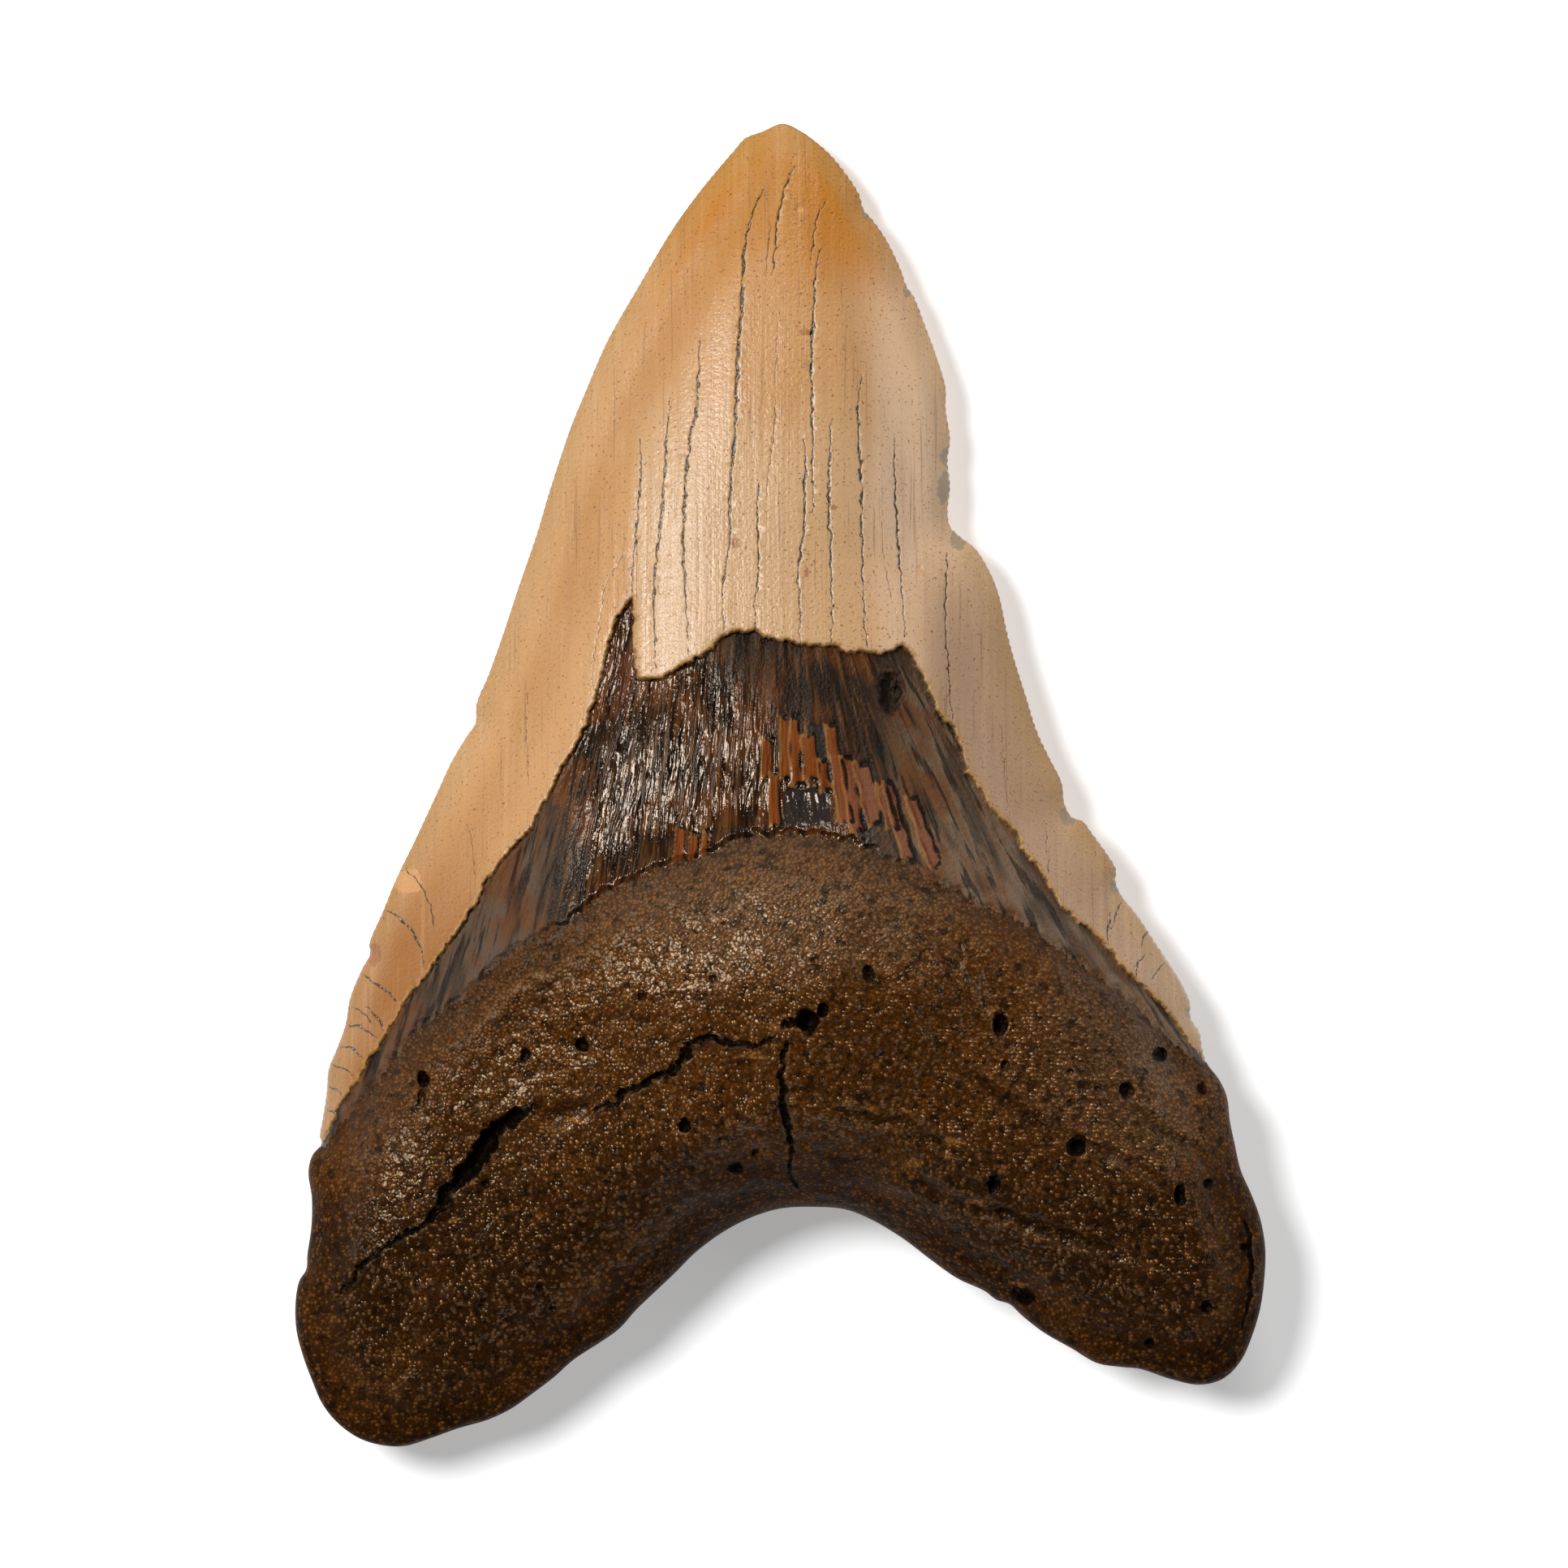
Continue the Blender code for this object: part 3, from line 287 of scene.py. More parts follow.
# strips where the bourlette's skin has flaked off, as (left, right, top, bottom), then bare dark spots
flakes = {
    "rust": [
        (-1.9, -0.7, 4.5, 0.8), (-1.1, -0.1, 1, -4.2), (0, 0.9, 6.6, 0.7), (1, 2.1, 6.6, 0),
        (2.3, 3.7, 4.8, 0.6), (4, 5, 2.2, -0.4), (5.2, 6.4, 5.8, -3.5), (6.6, 7.9, 2.6, -4.6),
        (8.1, 9.7, 2, -4), (10.2, 11.2, 0, -4.2), (11.4, 12.5, 0, -7.5), (13.8, 15, -1.5, -8),
        (-10.7, -9.8, -4.4, -8.3), (-9.2, -8.4, -5, -8.2), (-7.9, -7.2, -4.8, -7.8),
    ],
    "dark": [(3, 5, 5.9, 2.5), (0.4, 4.8, -0.6, -4)],
    "sunk": 0.16,
    "ragged": 0.17,
    "raggedGrain": (0.6, 2.4),
    "edgeWidth": 0.12,
    "endShare": 0.35,  # the ends are softer than the sides
    "rim": (0.04, 0.1),  # how far outside the strip it lies, width
    "area": (-3, 15.8, 7.6, -9),  # left, right, top, bottom
}

# chips and stained spots: centre, half widths across and along
chips = {
    "grey": [
        (17, 33.2, 0.8, 1.3), (16.6, 30, 0.6, 1.8), (18, 25, 0.9, 1.3), (29.2, -3.3, 0.9, 1.1),
        (8.7, 58, 0.5, 0.7), (13, 50.3, 0.5, 0.7), (34.2, -10.4, 0.8, 0.6), (41.5, -23.2, 0.7, 0.8)],
    "pale": [(-37.8, -9.9, 1.6, 1.3), (14, 22, 0.3, 0.3), (1.9, 58.3, 0.3, 0.3)],
    "rust": [
        (-41.2, -17.4, 0.7, 1.2), (-4.6, 24.3, 0.4, 0.7), (2.4, 45.8, 0.7, 0.5), (5.3, 28, 0.3, 0.4),
        (2.6, 21.5, 0.3, 0.7), (-43.5, -31.9, 0.6, 0.9), (11, 9.2, 1.7, 2.6)],
    "crumb": [
        (6.5, -32.2, 1.4, 0.35), (9.2, -32.8, 0.9, 0.3), (12.2, -33.1, 1.2, 0.35), (-3, -27.4, 1.7, 0.35),
        (-0.7, -24.5, 0.6, 0.5), (-10.1, -35.2, 0.8, 0.3), (21.2, -23, 0.4, 0.5), (22.5, -39, 0.6, 0.5),
        (13.2, -38.3, 1.1, 0.45), (20, -42.3, 1.4, 0.4), (-24.3, -43.6, 0.5, 0.3), (-32.9, -43.9, 0.5, 0.5),
        (35.6, -31, 0.5, 0.6), (17, -36, 1, 0.35), (-20.8, -33.8, 1, 0.3), (24, -50.9, 0.9, 0.4)],
}
chipForm = {"depths": {"grey": 0.3, "pale": 0.12}, "wander": 0.6, "fade": (0.8, 1.15)}
holeForm = {"wander": 0.7, "crumbHeight": 0.4, "crumbSize": 0.45, "darkReach": 1.35}
# for creases, dark is the strength of their painted shade and lip that of their painted light
creaseForm = {"step": 0.8, "wander": 1.3, "dark": 0.42, "lip": 0.6}

# fibres of the bourlette fan out below the enamel
fibres = {
    "top": 15,
    "fan": (0.012, 0.046),  # left of the middle, right of it
    # across, along, height, seed of each size of ridge
    "ridges": [(1.7, 14, 0.16, 2.2), (0.9, 9, 0.2, 5.7), (0.6, 5, 0.08, 9.1)],
}
grain = {
    "root": [(2.6, 0.16, 1.3), (1.1, 0.17, 4.4), (0.6, 0.12, 7.9)],  # size, height, seed
    "enamel": [(2.6, 30, 0.012, 6.2), (6, 11, 0.03, 3.7)],  # across, along, height, seed
    "rimCrumbs": (0.5, 0.1),
}
serrations = {
    "pitch": 0.75,
    "left": 0.07,  # depth
    "right": 0.13,
    "pointsPerPitch": 4,
    "wear": (0.65, 0.5, 6.0),  # share left, swing, size
    "bareTip": (1, 6),
}
# how the margins are broken: amount, size and seed of the noise that pushes them sideways
crumbling = {"enamel": (0.36, 1.2, 2.0), "root": (0.6, 1.2, 7.0), "flatArch": (0.3, 2.2, 4.0)}
facets = {  # sizes of the mesh's facets
    "rootRim": 0.45,
    "margin": 0.25,
    "crack": 0.27,
    "enamel": 0.64,
    "flake": 0.17,
    "bourlette": 0.27,
    "root": 0.38,
    "flatEnamel": 1.1,
    "flatRoot": 0.72,
}


def smoothLine(points, closed=False, pieces=10):
    # centripetal curve through given points
    points = np.array(points, float)
    if closed:
        padded = np.vstack([points[-1], points, points[:2]])
    else:
        padded = np.vstack([2 * points[0] - points[1], points, 2 * points[-1] - points[-2]])
    gaps = np.sqrt(np.linalg.norm(np.diff(padded, axis=0), axis=1))
    share = np.linspace(0, 1, pieces, endpoint=False)[:, None]
    line = []
    for i in range(1, len(padded) - 2):
        a, b, c, d = padded[i - 1:i + 3]
        before, here, after = gaps[i - 1:i + 2]
        start = here * ((b - a) / before - (c - a) / (before + here)) + (c - b)
        end = here * ((d - c) / after - (d - b) / (here + after)) + (c - b)
        line.append(b + start * share + (3 * (c - b) - 2 * start - end) * share ** 2
                    + (2 * (b - c) + start + end) * share ** 3)
    line = np.vstack(line)
    return line if closed else np.vstack([line, points[-1]])


def lengthsAlong(line):
    return np.concatenate([[0], np.cumsum(np.linalg.norm(np.diff(line, axis=0), axis=1))])


def pointsAt(line, places):
    along = lengthsAlong(line)
    return np.column_stack([np.interp(places, along, line[:, k]) for k in range(2)])


def evenPoints(line, step):
    along = lengthsAlong(line)[-1]
    return pointsAt(line, np.linspace(0, along, max(2, round(along / step)) + 1))


def valueAt(where, stations):
    line = smoothLine(stations)
    order = np.argsort(line[:, 0])
    return np.interp(where, line[order, 0], line[order, 1])


def ease(value, low, high):
    share = np.clip((value - low) / (high - low), 0, 1)
    return share * share * (3 - 2 * share)


def nearestOn(points, line):
    # distance to an open line, and how far along it the nearest place is, from 0 to 1
    best = np.full(len(points), np.inf)
    share = np.zeros(len(points))
    for i in range(len(line) - 1):
        run = line[i + 1] - line[i]
        offset = points - line[i]
        part = np.clip(offset @ run / (run @ run), 0, 1)
        gap = np.hypot(offset[:, 0] - part * run[0], offset[:, 1] - part * run[1])
        closer = gap < best
        best[closer] = gap[closer]
        share[closer] = (i + part[closer]) / (len(line) - 1)
    return best, share


def insideLoop(points, loop):
    hits = np.zeros(len(points), bool)
    x, y = points[:, 0], points[:, 1]
    for a, b in zip(loop, np.roll(loop, -1, axis=0)):
        if a[1] != b[1]:
            spans = (a[1] > y) != (b[1] > y)
            hits ^= spans & (x < a[0] + (y - a[1]) * (b[0] - a[0]) / (b[1] - a[1]))
    return hits


def depthInside(points, loop):
    # rounded distance in from the outline: the true distance near it, level along the middle
    pull = np.zeros(len(points))
    for a, b in zip(loop, np.roll(loop, -1, axis=0)):
        run = b - a
        length = math.hypot(*run)
        along = (points - a) @ run / length
        square = np.maximum(((points - a) @ np.array([-run[1], run[0]]) / length) ** 2, 1e-8)
        reach = (length - along) / np.sqrt((length - along) ** 2 + square)
        pull += (reach + along / np.sqrt(along ** 2 + square)) / square
    return np.sqrt(2 / pull)


def besideLine(points, line, side):
    # signed distance to a line across the tooth, above zero on its tip side (1) or root side (-1)
    far = 2 * toothLength
    loop = np.vstack([line, [(far, line[-1, 1]), (far, side * far), (-far, side * far), (-far, line[0, 1])]])
    gap, _ = nearestOn(points, line)
    return np.where(insideLoop(points, loop), gap, -gap)


def sideways(line, distance):
    run = np.gradient(line, axis=0)
    run /= np.linalg.norm(run, axis=1)[:, None]
    return line + distance * np.column_stack([-run[:, 1], run[:, 0]])


def lumps(points, size, seed):
    # smooth noise from about -1 to 1 on flat or solid points, size in mm (one size, or one for each axis)
    scaled = points / size
    if scaled.shape[1] == 2:
        scaled = np.column_stack([scaled, np.full(len(scaled), seed)])
    else:
        scaled = scaled + seed
    return np.array([noise.noise(p) for p in scaled.tolist()])


def toothOutline():
    loop = smoothLine(sum(outlineShape.values(), []), closed=True)
    loop = evenPoints(np.vstack([loop, loop[:1]]), 0.1)[:-1]
    low, high = loop.min(axis=0), loop.max(axis=0)
    return (loop - (low + high) / 2) * np.array([toothWidth, toothLength]) / (high - low)


def marginLine(*names):
    runs = [evenPoints(smoothLine(margins[name]), facets["margin"]) for name in names]
    return np.vstack([runs[0]] + [run[1:] for run in runs[1:]])


def crumbled(line, amount, size, seed):
    # a broken edge: the line pushed sideways by noise, in coarse bites and fine crumbs
    along = lengthsAlong(line)[:, None] * np.array([1.0, 0.0])
    push = lumps(along, size, seed) + 0.6 * lumps(along, size / 3, seed + 5)
    return sideways(line, (push * amount)[:, None])


smoothOutline = toothOutline()
coarseOutline = smoothOutline[::8]
plainRootMargin = marginLine("bourletteEnd")
plainFlatArch = marginLine("flatFaceArch")
plainEnamelMargin = marginLine("enamelLeftFlank", "enamelCentre", "enamelRightFlank")
enamelMargin = crumbled(plainEnamelMargin, *crumbling["enamel"])
rootMargin = crumbled(plainRootMargin, *crumbling["root"])
flatArch = crumbled(plainFlatArch, *crumbling["flatArch"])


def rimLine():
    # the outline with close points on the serrated cutting edges and wider ones round the root
    ring = np.vstack([smoothOutline, smoothOutline[:1]])
    along = lengthsAlong(ring)
    onRoot = besideLine(ring, plainRootMargin[::4], -1) > 0
    first, last = along[onRoot][0], along[onRoot][-1]
    step = serrations["pitch"] / serrations["pointsPerPitch"]
    left = np.arange(0, first, step)
    right = np.arange(along[-1] - step, last, -step)[::-1]
    places = np.concatenate([left, np.arange(first, last, facets["rootRim"]), right])
    rim = pointsAt(ring, places)
    depth = np.where(places < first, serrations["left"], serrations["right"])
    depth[(places >= first) & (places <= last)] = 0
    fromTip = np.where(places < first, places, along[-1] - places)
    left, swing, size = serrations["wear"]
    worn = left + swing * lumps(np.column_stack([places, np.zeros(len(places))]), size, 1.7)
    notch = depth * worn * np.cos(math.pi * fromTip / serrations["pitch"]) ** 2
    return sideways(rim, (notch * ease(fromTip, *serrations["bareTip"]))[:, None])


rim = rimLine()
print("outline:", len(rim), "points on the rim")


def edgeHeight(points):
    alongCrown = valueAt(points[:, 1], crown["edgeHeight"])
    onRoot = ease(besideLine(points, plainRootMargin[::4], -1), *crown["toRootEdge"])
    return alongCrown + (root["edgeHeight"] - alongCrown) * onRoot


def crownDome(points, depth):
    middle = crown["middleDepthShare"] * valueAt(points[:, 1], crown["halfWidth"])
    toCrest = 1 - np.clip(depth / middle, 0, 1)
    soft, power = crown["crestSoftness"] ** 2, crown["fullness"] / 2
    fall = ((toCrest ** 2 + soft) ** power - soft ** power) / ((1 + soft) ** power - soft ** power)
    dome = valueAt(points[:, 1], crown["dome"]) * (1 - fall)
    deep, place, width = crown["hollow"]
    hollow = deep * np.exp(-((depth - place) / width) ** 2)
    return dome - hollow * ease(depth, 0, width)


def rootBack(points, depth):
    across = (points[:, 0] - root["bossCentre"][0]) / root["bossSpread"][0]
    along = (points[:, 1] - root["bossCentre"][1]) / root["bossSpread"][1]
    back = root["backHeight"] + root["bossRise"] * np.exp(-across ** 2 - along ** 2)
    back -= root["lobeDrop"] * ease(-points[:, 1], *root["lobeFall"])
    rounding = np.sqrt(1 - (1 - np.minimum(depth / root["rounding"], 1)) ** 2)
    for size, height, seed in root["lumps"]:
        back += height * lumps(points, size, seed)
    return (back - root["edgeHeight"]) * rounding


# how a crack breaks: it wanders much in the crumbly root, where the wide ones are, and little in the enamel
crackForms = {
    "wideFrom": 0.6,
    "wide": {"wander": 0.5, "size": 1.5, "pinch": 0.45, "least": 0.55, "fullness": 0.6, "lip": (0.7, 1.0)},
    "narrow": {"wander": 0.24, "size": 0.8, "pinch": 0.9, "least": 0.2, "fullness": 1.0, "lip": (0.17, 0.35)},
    "fineShare": 0.35,
    "closedEnd": 0.12,  # share of its width that a crack keeps at its ends
    "leastHalf": 0.035,
    "lipFrom": 0.2,  # shallower cracks have no lip
    "litLipWay": (0.93, -0.37),  # the raised lip of a crack is on this side of it, whose wall faces the key lamp; its paler colour is painted light
    "lipHeight": 0.22,
}


def formOf(width):
    return crackForms["wide" if width > crackForms["wideFrom"] else "narrow"]


def rag(points, form):
    # how far a broken edge wanders at each point
    size = form["size"]
    fine = np.column_stack([lumps(points, size / 3, 43.0), lumps(points, size / 3, 47.0)])
    coarse = np.column_stack([lumps(points, size, 31.0), lumps(points, size, 37.0)])
    return form["wander"] * (coarse + crackForms["fineShare"] * fine)


def crackWidth(share, width, seed):
    # widest a little before its middle, nearly closed at both ends, pinched here and there
    form, closed = formOf(width), crackForms["closedEnd"]
    pinch = 0.8 + form["pinch"] * lumps(np.column_stack([share * 40, np.zeros(len(share))]), 1.9, seed)
    opened = np.abs(np.sin(np.pi * share ** 0.75)) ** form["fullness"]
    return width * (closed + (1 - closed) * opened) * np.clip(pinch, form["least"], 1.4)


def crackLines():
    lines = []
    for seed, (route, width, deep) in enumerate([*crownCracks.values(), *rootFissures.values()]):
        middle = evenPoints(smoothLine(route), facets["crack"])
        half = crackWidth(np.linspace(0, 1, len(middle)), width, 3.0 + seed) / 2
        lines.append((middle, np.maximum(half, crackForms["leastHalf"]), width, deep))
    return lines


cracks = crackLines()


def pointsNear(points, line, reach):
    inBox = (points > line.min(axis=0) - reach) & (points < line.max(axis=0) + reach)
    return np.all(inBox, axis=1).nonzero()[0]


# the side of a crack whose wall faces the key lamp: its raised lip is painted lighter there
def litLipSide(spots, line, share):
    places = np.linspace(0, 1, len(line))
    foot = np.column_stack([np.interp(share, places, line[:, k]) for k in range(2)])
    return (spots - foot) @ np.array(crackForms["litLipWay"]) > 0


def crackDepths(points):
    # how deep each point lies in a crack, how dark it is there (dark fill and painted shade), and how near
    # the crack's raised lip on the lamp's side (painted light)
    depth, dark, lip = np.zeros(len(points)), np.zeros(len(points)), np.zeros(len(points))
    for middle, half, width, deep in cracks:
        near = pointsNear(points, middle, width + 1.6)
        if not len(near):
            continue
        form = formOf(width)
        spots = points[near] + rag(points[near], form)
        gap, share = nearestOn(spots, middle)
        halfHere = np.interp(share, np.linspace(0, 1, len(half)), half)
        inward = 1 - gap / halfHere
        opened = np.minimum(halfHere * 2 / width, 1)
        depth[near] = np.maximum(depth[near], deep * opened * np.clip(inward, 0, 1))
        dark[near] = np.maximum(dark[near], np.clip(inward * 1.6 + 0.25, 0, 1) * min(1, 0.35 + width * 2))
        lipWidth, lipShare = form["lip"]
        lipShare *= deep > crackForms["lipFrom"]
        edge = np.exp(-(np.maximum(gap - halfHere, 0) / lipWidth) ** 2) * opened * lipShare
        lip[near] = np.maximum(lip[near], edge * (gap > halfHere * 0.8) * litLipSide(spots, middle, share))
    return depth, dark, lip


def creaseDepths(points):
    # the same for the soft creases, which have rounded sides and are never quite dark: their darkness is
    # painted shade, their lip's paler colour painted light
    depth, dark, lip = np.zeros(len(points)), np.zeros(len(points)), np.zeros(len(points))
    for route, width, deep in rootCreases.values():
        middle = evenPoints(smoothLine(route), creaseForm["step"])
        near = pointsNear(points, middle, width * 2 + 1.6)
        spots = points[near] + creaseForm["wander"] * rag(points[near], crackForms["wide"])
        gap, share = nearestOn(spots, middle)
        taper = np.sqrt(np.sin(math.pi * np.clip(share, 0.001, 0.999)))
        sunk = np.exp(-(gap / (width / 2)) ** 2) * taper
        depth[near] = np.maximum(depth[near], deep * sunk)
        dark[near] = np.maximum(dark[near], creaseForm["dark"] * sunk ** 2)
        edge = np.exp(-((gap - 0.8 * width) / (0.5 * width)) ** 2) * taper
        lip[near] = np.maximum(lip[near], creaseForm["lip"] * edge * litLipSide(spots, middle, share))
    return depth, dark, lip


def holeDepths(points):
    # how deep each point lies in a hole, and how dark: painted shade in and around the hole
    depth, dark = np.zeros(len(points)), np.zeros(len(points))
    points = points + holeForm["wander"] * rag(points, crackForms["wide"])
    crumbly = holeForm["crumbHeight"] * lumps(points, holeForm["crumbSize"], 31.0)
    for x, y, across, along, deep in holes:
        reach = np.hypot((points[:, 0] - x) / across, (points[:, 1] - y) / along)
        reach = np.clip(reach + crumbly, 0, None)
        depth += deep * np.clip(1 - reach ** 2, 0, None)
        dark = np.maximum(dark, np.clip(holeForm["darkReach"] - reach, 0, 1) * min(1, deep))
    return depth, dark


def fanAcross(points):
    # which fibre a point of the bourlette lies on: its place across the fan, at the enamel
    fan = np.where(points[:, 0] < 0, *fibres["fan"])
    return points[:, 0] / (1 + fan * np.clip(fibres["top"] - points[:, 1], 0, None))


def flakeMarks(points):
    # 1 inside the rusty strips, inside the bare dark spots, on the lit left edges and in the black gaps
    across = fanAcross(points)
    wobble = flakes["ragged"] * lumps(points, np.array(flakes["raggedGrain"]), 21.0)
    outside, rimWidth = flakes["rim"]
    found = {name: np.zeros(len(points)) for name in ("rust", "dark", "lit", "gap")}
    for kind in ("rust", "dark"):
        for left, right, top, bottom in flakes[kind]:
            low, high = fanAcross(np.array([(left, (top + bottom) / 2), (right, (top + bottom) / 2)]))
            ends = np.minimum(top - points[:, 1], points[:, 1] - bottom) * flakes["endShare"]
            inside = np.minimum(np.minimum(across - low, high - across), ends) + wobble
            found[kind] = np.maximum(found[kind], np.clip(inside / flakes["edgeWidth"] + 0.5, 0, 1))
            if kind == "rust":
                rimHere = np.exp(-((inside + outside) / rimWidth) ** 2)
                leftHalf = ease(-(across - (low + high) / 2), -0.1, 0.3)
                found["lit"] = np.maximum(found["lit"], rimHere * leftHalf)
                found["gap"] = np.maximum(found["gap"], rimHere * (1 - leftHalf))
    found["gap"] *= 1 - found["lit"]
    return found.values()


def chipShare(points, kind):
    # 1 inside a chip or stained spot of one kind, 0 outside, with a ragged edge
    points = points + chipForm["wander"] * rag(points, crackForms["wide"])
    share = np.zeros(len(points))
    for x, y, across, along in chips[kind]:
        reach = np.hypot((points[:, 0] - x) / across, (points[:, 1] - y) / along)
        share = np.maximum(share, 1 - ease(reach, *chipForm["fade"]))
    return share


def domedFace(points, toEnamel, toRoot):
    depth = depthInside(points, coarseOutline)
    onRoot = ease(besideLine(points, plainRootMargin[::4], -1), *crown["toRoot"])
    rise = crownDome(points, depth) * (1 - onRoot) + rootBack(points, depth) * onRoot
    face, shoulder = ease(toEnamel, 0, steps["enamelCliff"]), ease(toEnamel, 0, steps["enamelShoulder"])
    cliff = steps["cliffShare"] * face + (1 - steps["cliffShare"]) * shoulder
    broken = steps["enamel"] * (cliff - 1) + steps["bourlette"] * ease(toRoot, 0, steps["bourletteRun"])
    crackDepth, crackDarkAndShade, crackLitLip = crackDepths(points)
    creaseDepth, creaseShade, creaseLitLip = creaseDepths(points)
    holeDepth, holeShade = holeDepths(points)
    lip = np.maximum(crackLitLip, creaseLitLip)
    rust, bareDark, _, gap = flakeMarks(points)
    sunk = flakes["sunk"] * (np.maximum(bareDark, gap * 1.4) - 0.5 * rust)
    chipped = sum(deep * chipShare(points, kind) for kind, deep in chipForm["depths"].items())
    detail = broken - crackDepth - creaseDepth - holeDepth - sunk - chipped + crackForms["lipHeight"] * lip
    height = edgeHeight(points) + rise + ease(depth, *steps["fromEdge"]) * detail
    return height, depth, np.maximum(np.maximum(crackDarkAndShade, creaseShade), holeShade), lip


def flatFaceHeight(points, toCrown):
    depth = depthInside(points, coarseOutline)
    reach = np.linalg.norm((points - flatFace["restCentre"]) / flatFace["restRadius"], axis=1)
    away = np.maximum(reach - 1, 0) * min(flatFace["restRadius"])
    lift = flatFace["liftSlope"] * away ** 2 / (away + flatFace["liftStart"])
    deep, width = flatFace["furrow"]
    step, run = flatFace["enamelStep"]
    furrow = deep * ease(toCrown, -width, 0) - step * ease(toCrown, 0, run)
    level = lift + furrow * ease(depth, *steps["fromEdge"])
    inward = 1 - np.minimum(depth / flatFace["rounding"], 1)
    onRoot = ease(-toCrown, -flatFace["curlChange"], flatFace["curlChange"])
    curl = inward ** 2 * (1 - onRoot) + (1 - np.sqrt(1 - inward ** 2)) * onRoot
    return level + (edgeHeight(points) - level) * curl, depth


def gridPoints(step):
    rows = np.arange(-toothLength / 2, toothLength / 2, step * math.sin(math.pi / 3))
    columns = np.arange(-toothWidth / 2, toothWidth / 2, step)
    x = columns[None, :] + (np.arange(len(rows)) % 2)[:, None] * step / 2
    return np.column_stack([x.ravel(), np.repeat(rows, len(columns))])


def clearOf(points, placed, gap):
    # the points that keep a gap to those already placed
    tree = kdtree.KDTree(len(placed))
    for i, (x, y) in enumerate(placed.tolist()):
        tree.insert((x, y, 0), i)
    tree.balance()
    return np.array([tree.find((x, y, 0))[2] > gap for x, y in points.tolist()], bool)


def thinned(points, gap):
    # the points left when none is closer than a gap to an earlier one
    taken, kept = {}, []
    for i, (x, y) in enumerate(points.tolist()):
        cell = (int(x // gap), int(y // gap))
        around = [taken.get((cell[0] + a, cell[1] + b)) for a in (-1, 0, 1) for b in (-1, 0, 1)]
        if all(p is None or math.hypot(p[0] - x, p[1] - y) > gap for p in around):
            taken[cell] = (x, y)
            kept.append(i)
    return points[kept]


def rimRows(rounding, rise):
    # rows that follow the rim just inside it, close where the root rounds over into its side
    ring = np.vstack([rim, rim[:2]])
    onRoot = besideLine(rim, plainRootMargin[::4], -1) > -2
    rows = []
    for k in range(1, 13):
        inset = rounding * (1 - math.sqrt(1 - (rise * k) ** 2))
        row = sideways(ring, inset)[1:-1]
        row = row[np.roll(onRoot, -1)]
        rows.append(row[k % 2::2] if k < 3 else row)
    for inset, every in ((0.22, 1), (0.55, 2), (1.0, 3), (1.6, 4)):
        row = sideways(ring, inset)[1:-1]
        rows.append(row[~np.roll(onRoot, -1)][::every])
    return np.vstack(rows)


def plan(lines, loose, regions):
    # one face in plan: the rim, the lines that facets follow, loose points, then a grid in each region
    points, edges, count = [rim], [], len(rim)
    ring = np.vstack([smoothOutline, smoothOutline[:1]])[::5]
    for line in lines:
        room, _ = nearestOn(line, ring)
        keep = insideLoop(line, coarseOutline) & (room > 0.3)
        edges += [(count + i, count + i + 1) for i in range(len(line) - 1) if keep[i] and keep[i + 1]]
        points.append(np.where(keep[:, None], line, rim[0]))
        count += len(line)
    placed = np.vstack(points)
    loose = thinned(loose[insideLoop(loose, smoothOutline[::3])], 0.1)
    placed = np.vstack([placed, loose[clearOf(loose, placed, 0.07)]])
    for step, wanted in regions:
        grid = gridPoints(step)
        grid = grid[insideLoop(grid, coarseOutline)]
        grid = grid[wanted(grid)]
        placed = np.vstack([placed, grid[clearOf(grid, placed, step * 0.62)]])
    result = delaunay_2d_cdt([Vector(p) for p in placed.tolist()], edges, [list(range(len(rim)))], 1, 1e-5)
    return np.array([tuple(v) for v in result[0]]), np.array([tuple(face) for face in result[2]])


def planDomedFace():
    lines, loose = [], [rimRows(root["rounding"], 0.05)]
    for line, rows in ((enamelMargin, (-0.15, 0.08, 0.17, 0.3, 0.5)), (rootMargin, (-0.18, 0.12, 0.24))):
        lines.append(line)
        loose += [sideways(line, row) for row in rows]
    for middle, half, width, _ in cracks:
        rows = [sideways(middle, (side * (half + out))[:, None]) for out in (0, 0.13) for side in (-1, 1)]
        rows = [row - rag(row, formOf(width)) for row in [middle, *rows]]
        lines += rows[:3]
        loose += rows[3:]
    turns = np.linspace(0, 2 * math.pi, 15)[:-1]
    circle = np.column_stack([np.cos(turns), np.sin(turns)])
    for x, y, across, along, *_ in [*holes, *chips["grey"], *chips["pale"], *chips["rust"]]:
        oval = circle * [across, along]
        loose += [oval * reach + [x, y] for reach in (0.35, 0.7, 0.95, 1.2)]
    onEnamel = lambda p: besideLine(p, enamelMargin[::4], 1) > 0
    onRoot = lambda p: besideLine(p, rootMargin[::4], -1) > 0
    left, right, above, below = flakes["area"]
    flaked = lambda p: (p[:, 0] > left) & (p[:, 0] < right) & (p[:, 1] < above) & (p[:, 1] > below)
    regions = [
        (facets["flake"], lambda p: flaked(p) & ~onRoot(p)),
        (facets["enamel"], onEnamel),
        (facets["bourlette"], lambda p: ~onEnamel(p) & ~onRoot(p)),
        (facets["root"], lambda p: onRoot(p) & ~onEnamel(p)),
    ]
    return plan(lines, np.vstack(loose), regions)


def planFlatFace():
    loose = [rimRows(flatFace["rounding"], 0.06)]
    loose += [sideways(flatArch, row) for row in (-0.3, 0.2, 0.4, 0.6)]
    onCrown = lambda p: besideLine(p, plainFlatArch[::4], 1) > 0
    regions = [(facets["flatEnamel"], onCrown), (facets["flatRoot"], lambda p: ~onCrown(p))]
    return plan([flatArch], np.vstack(loose), regions)


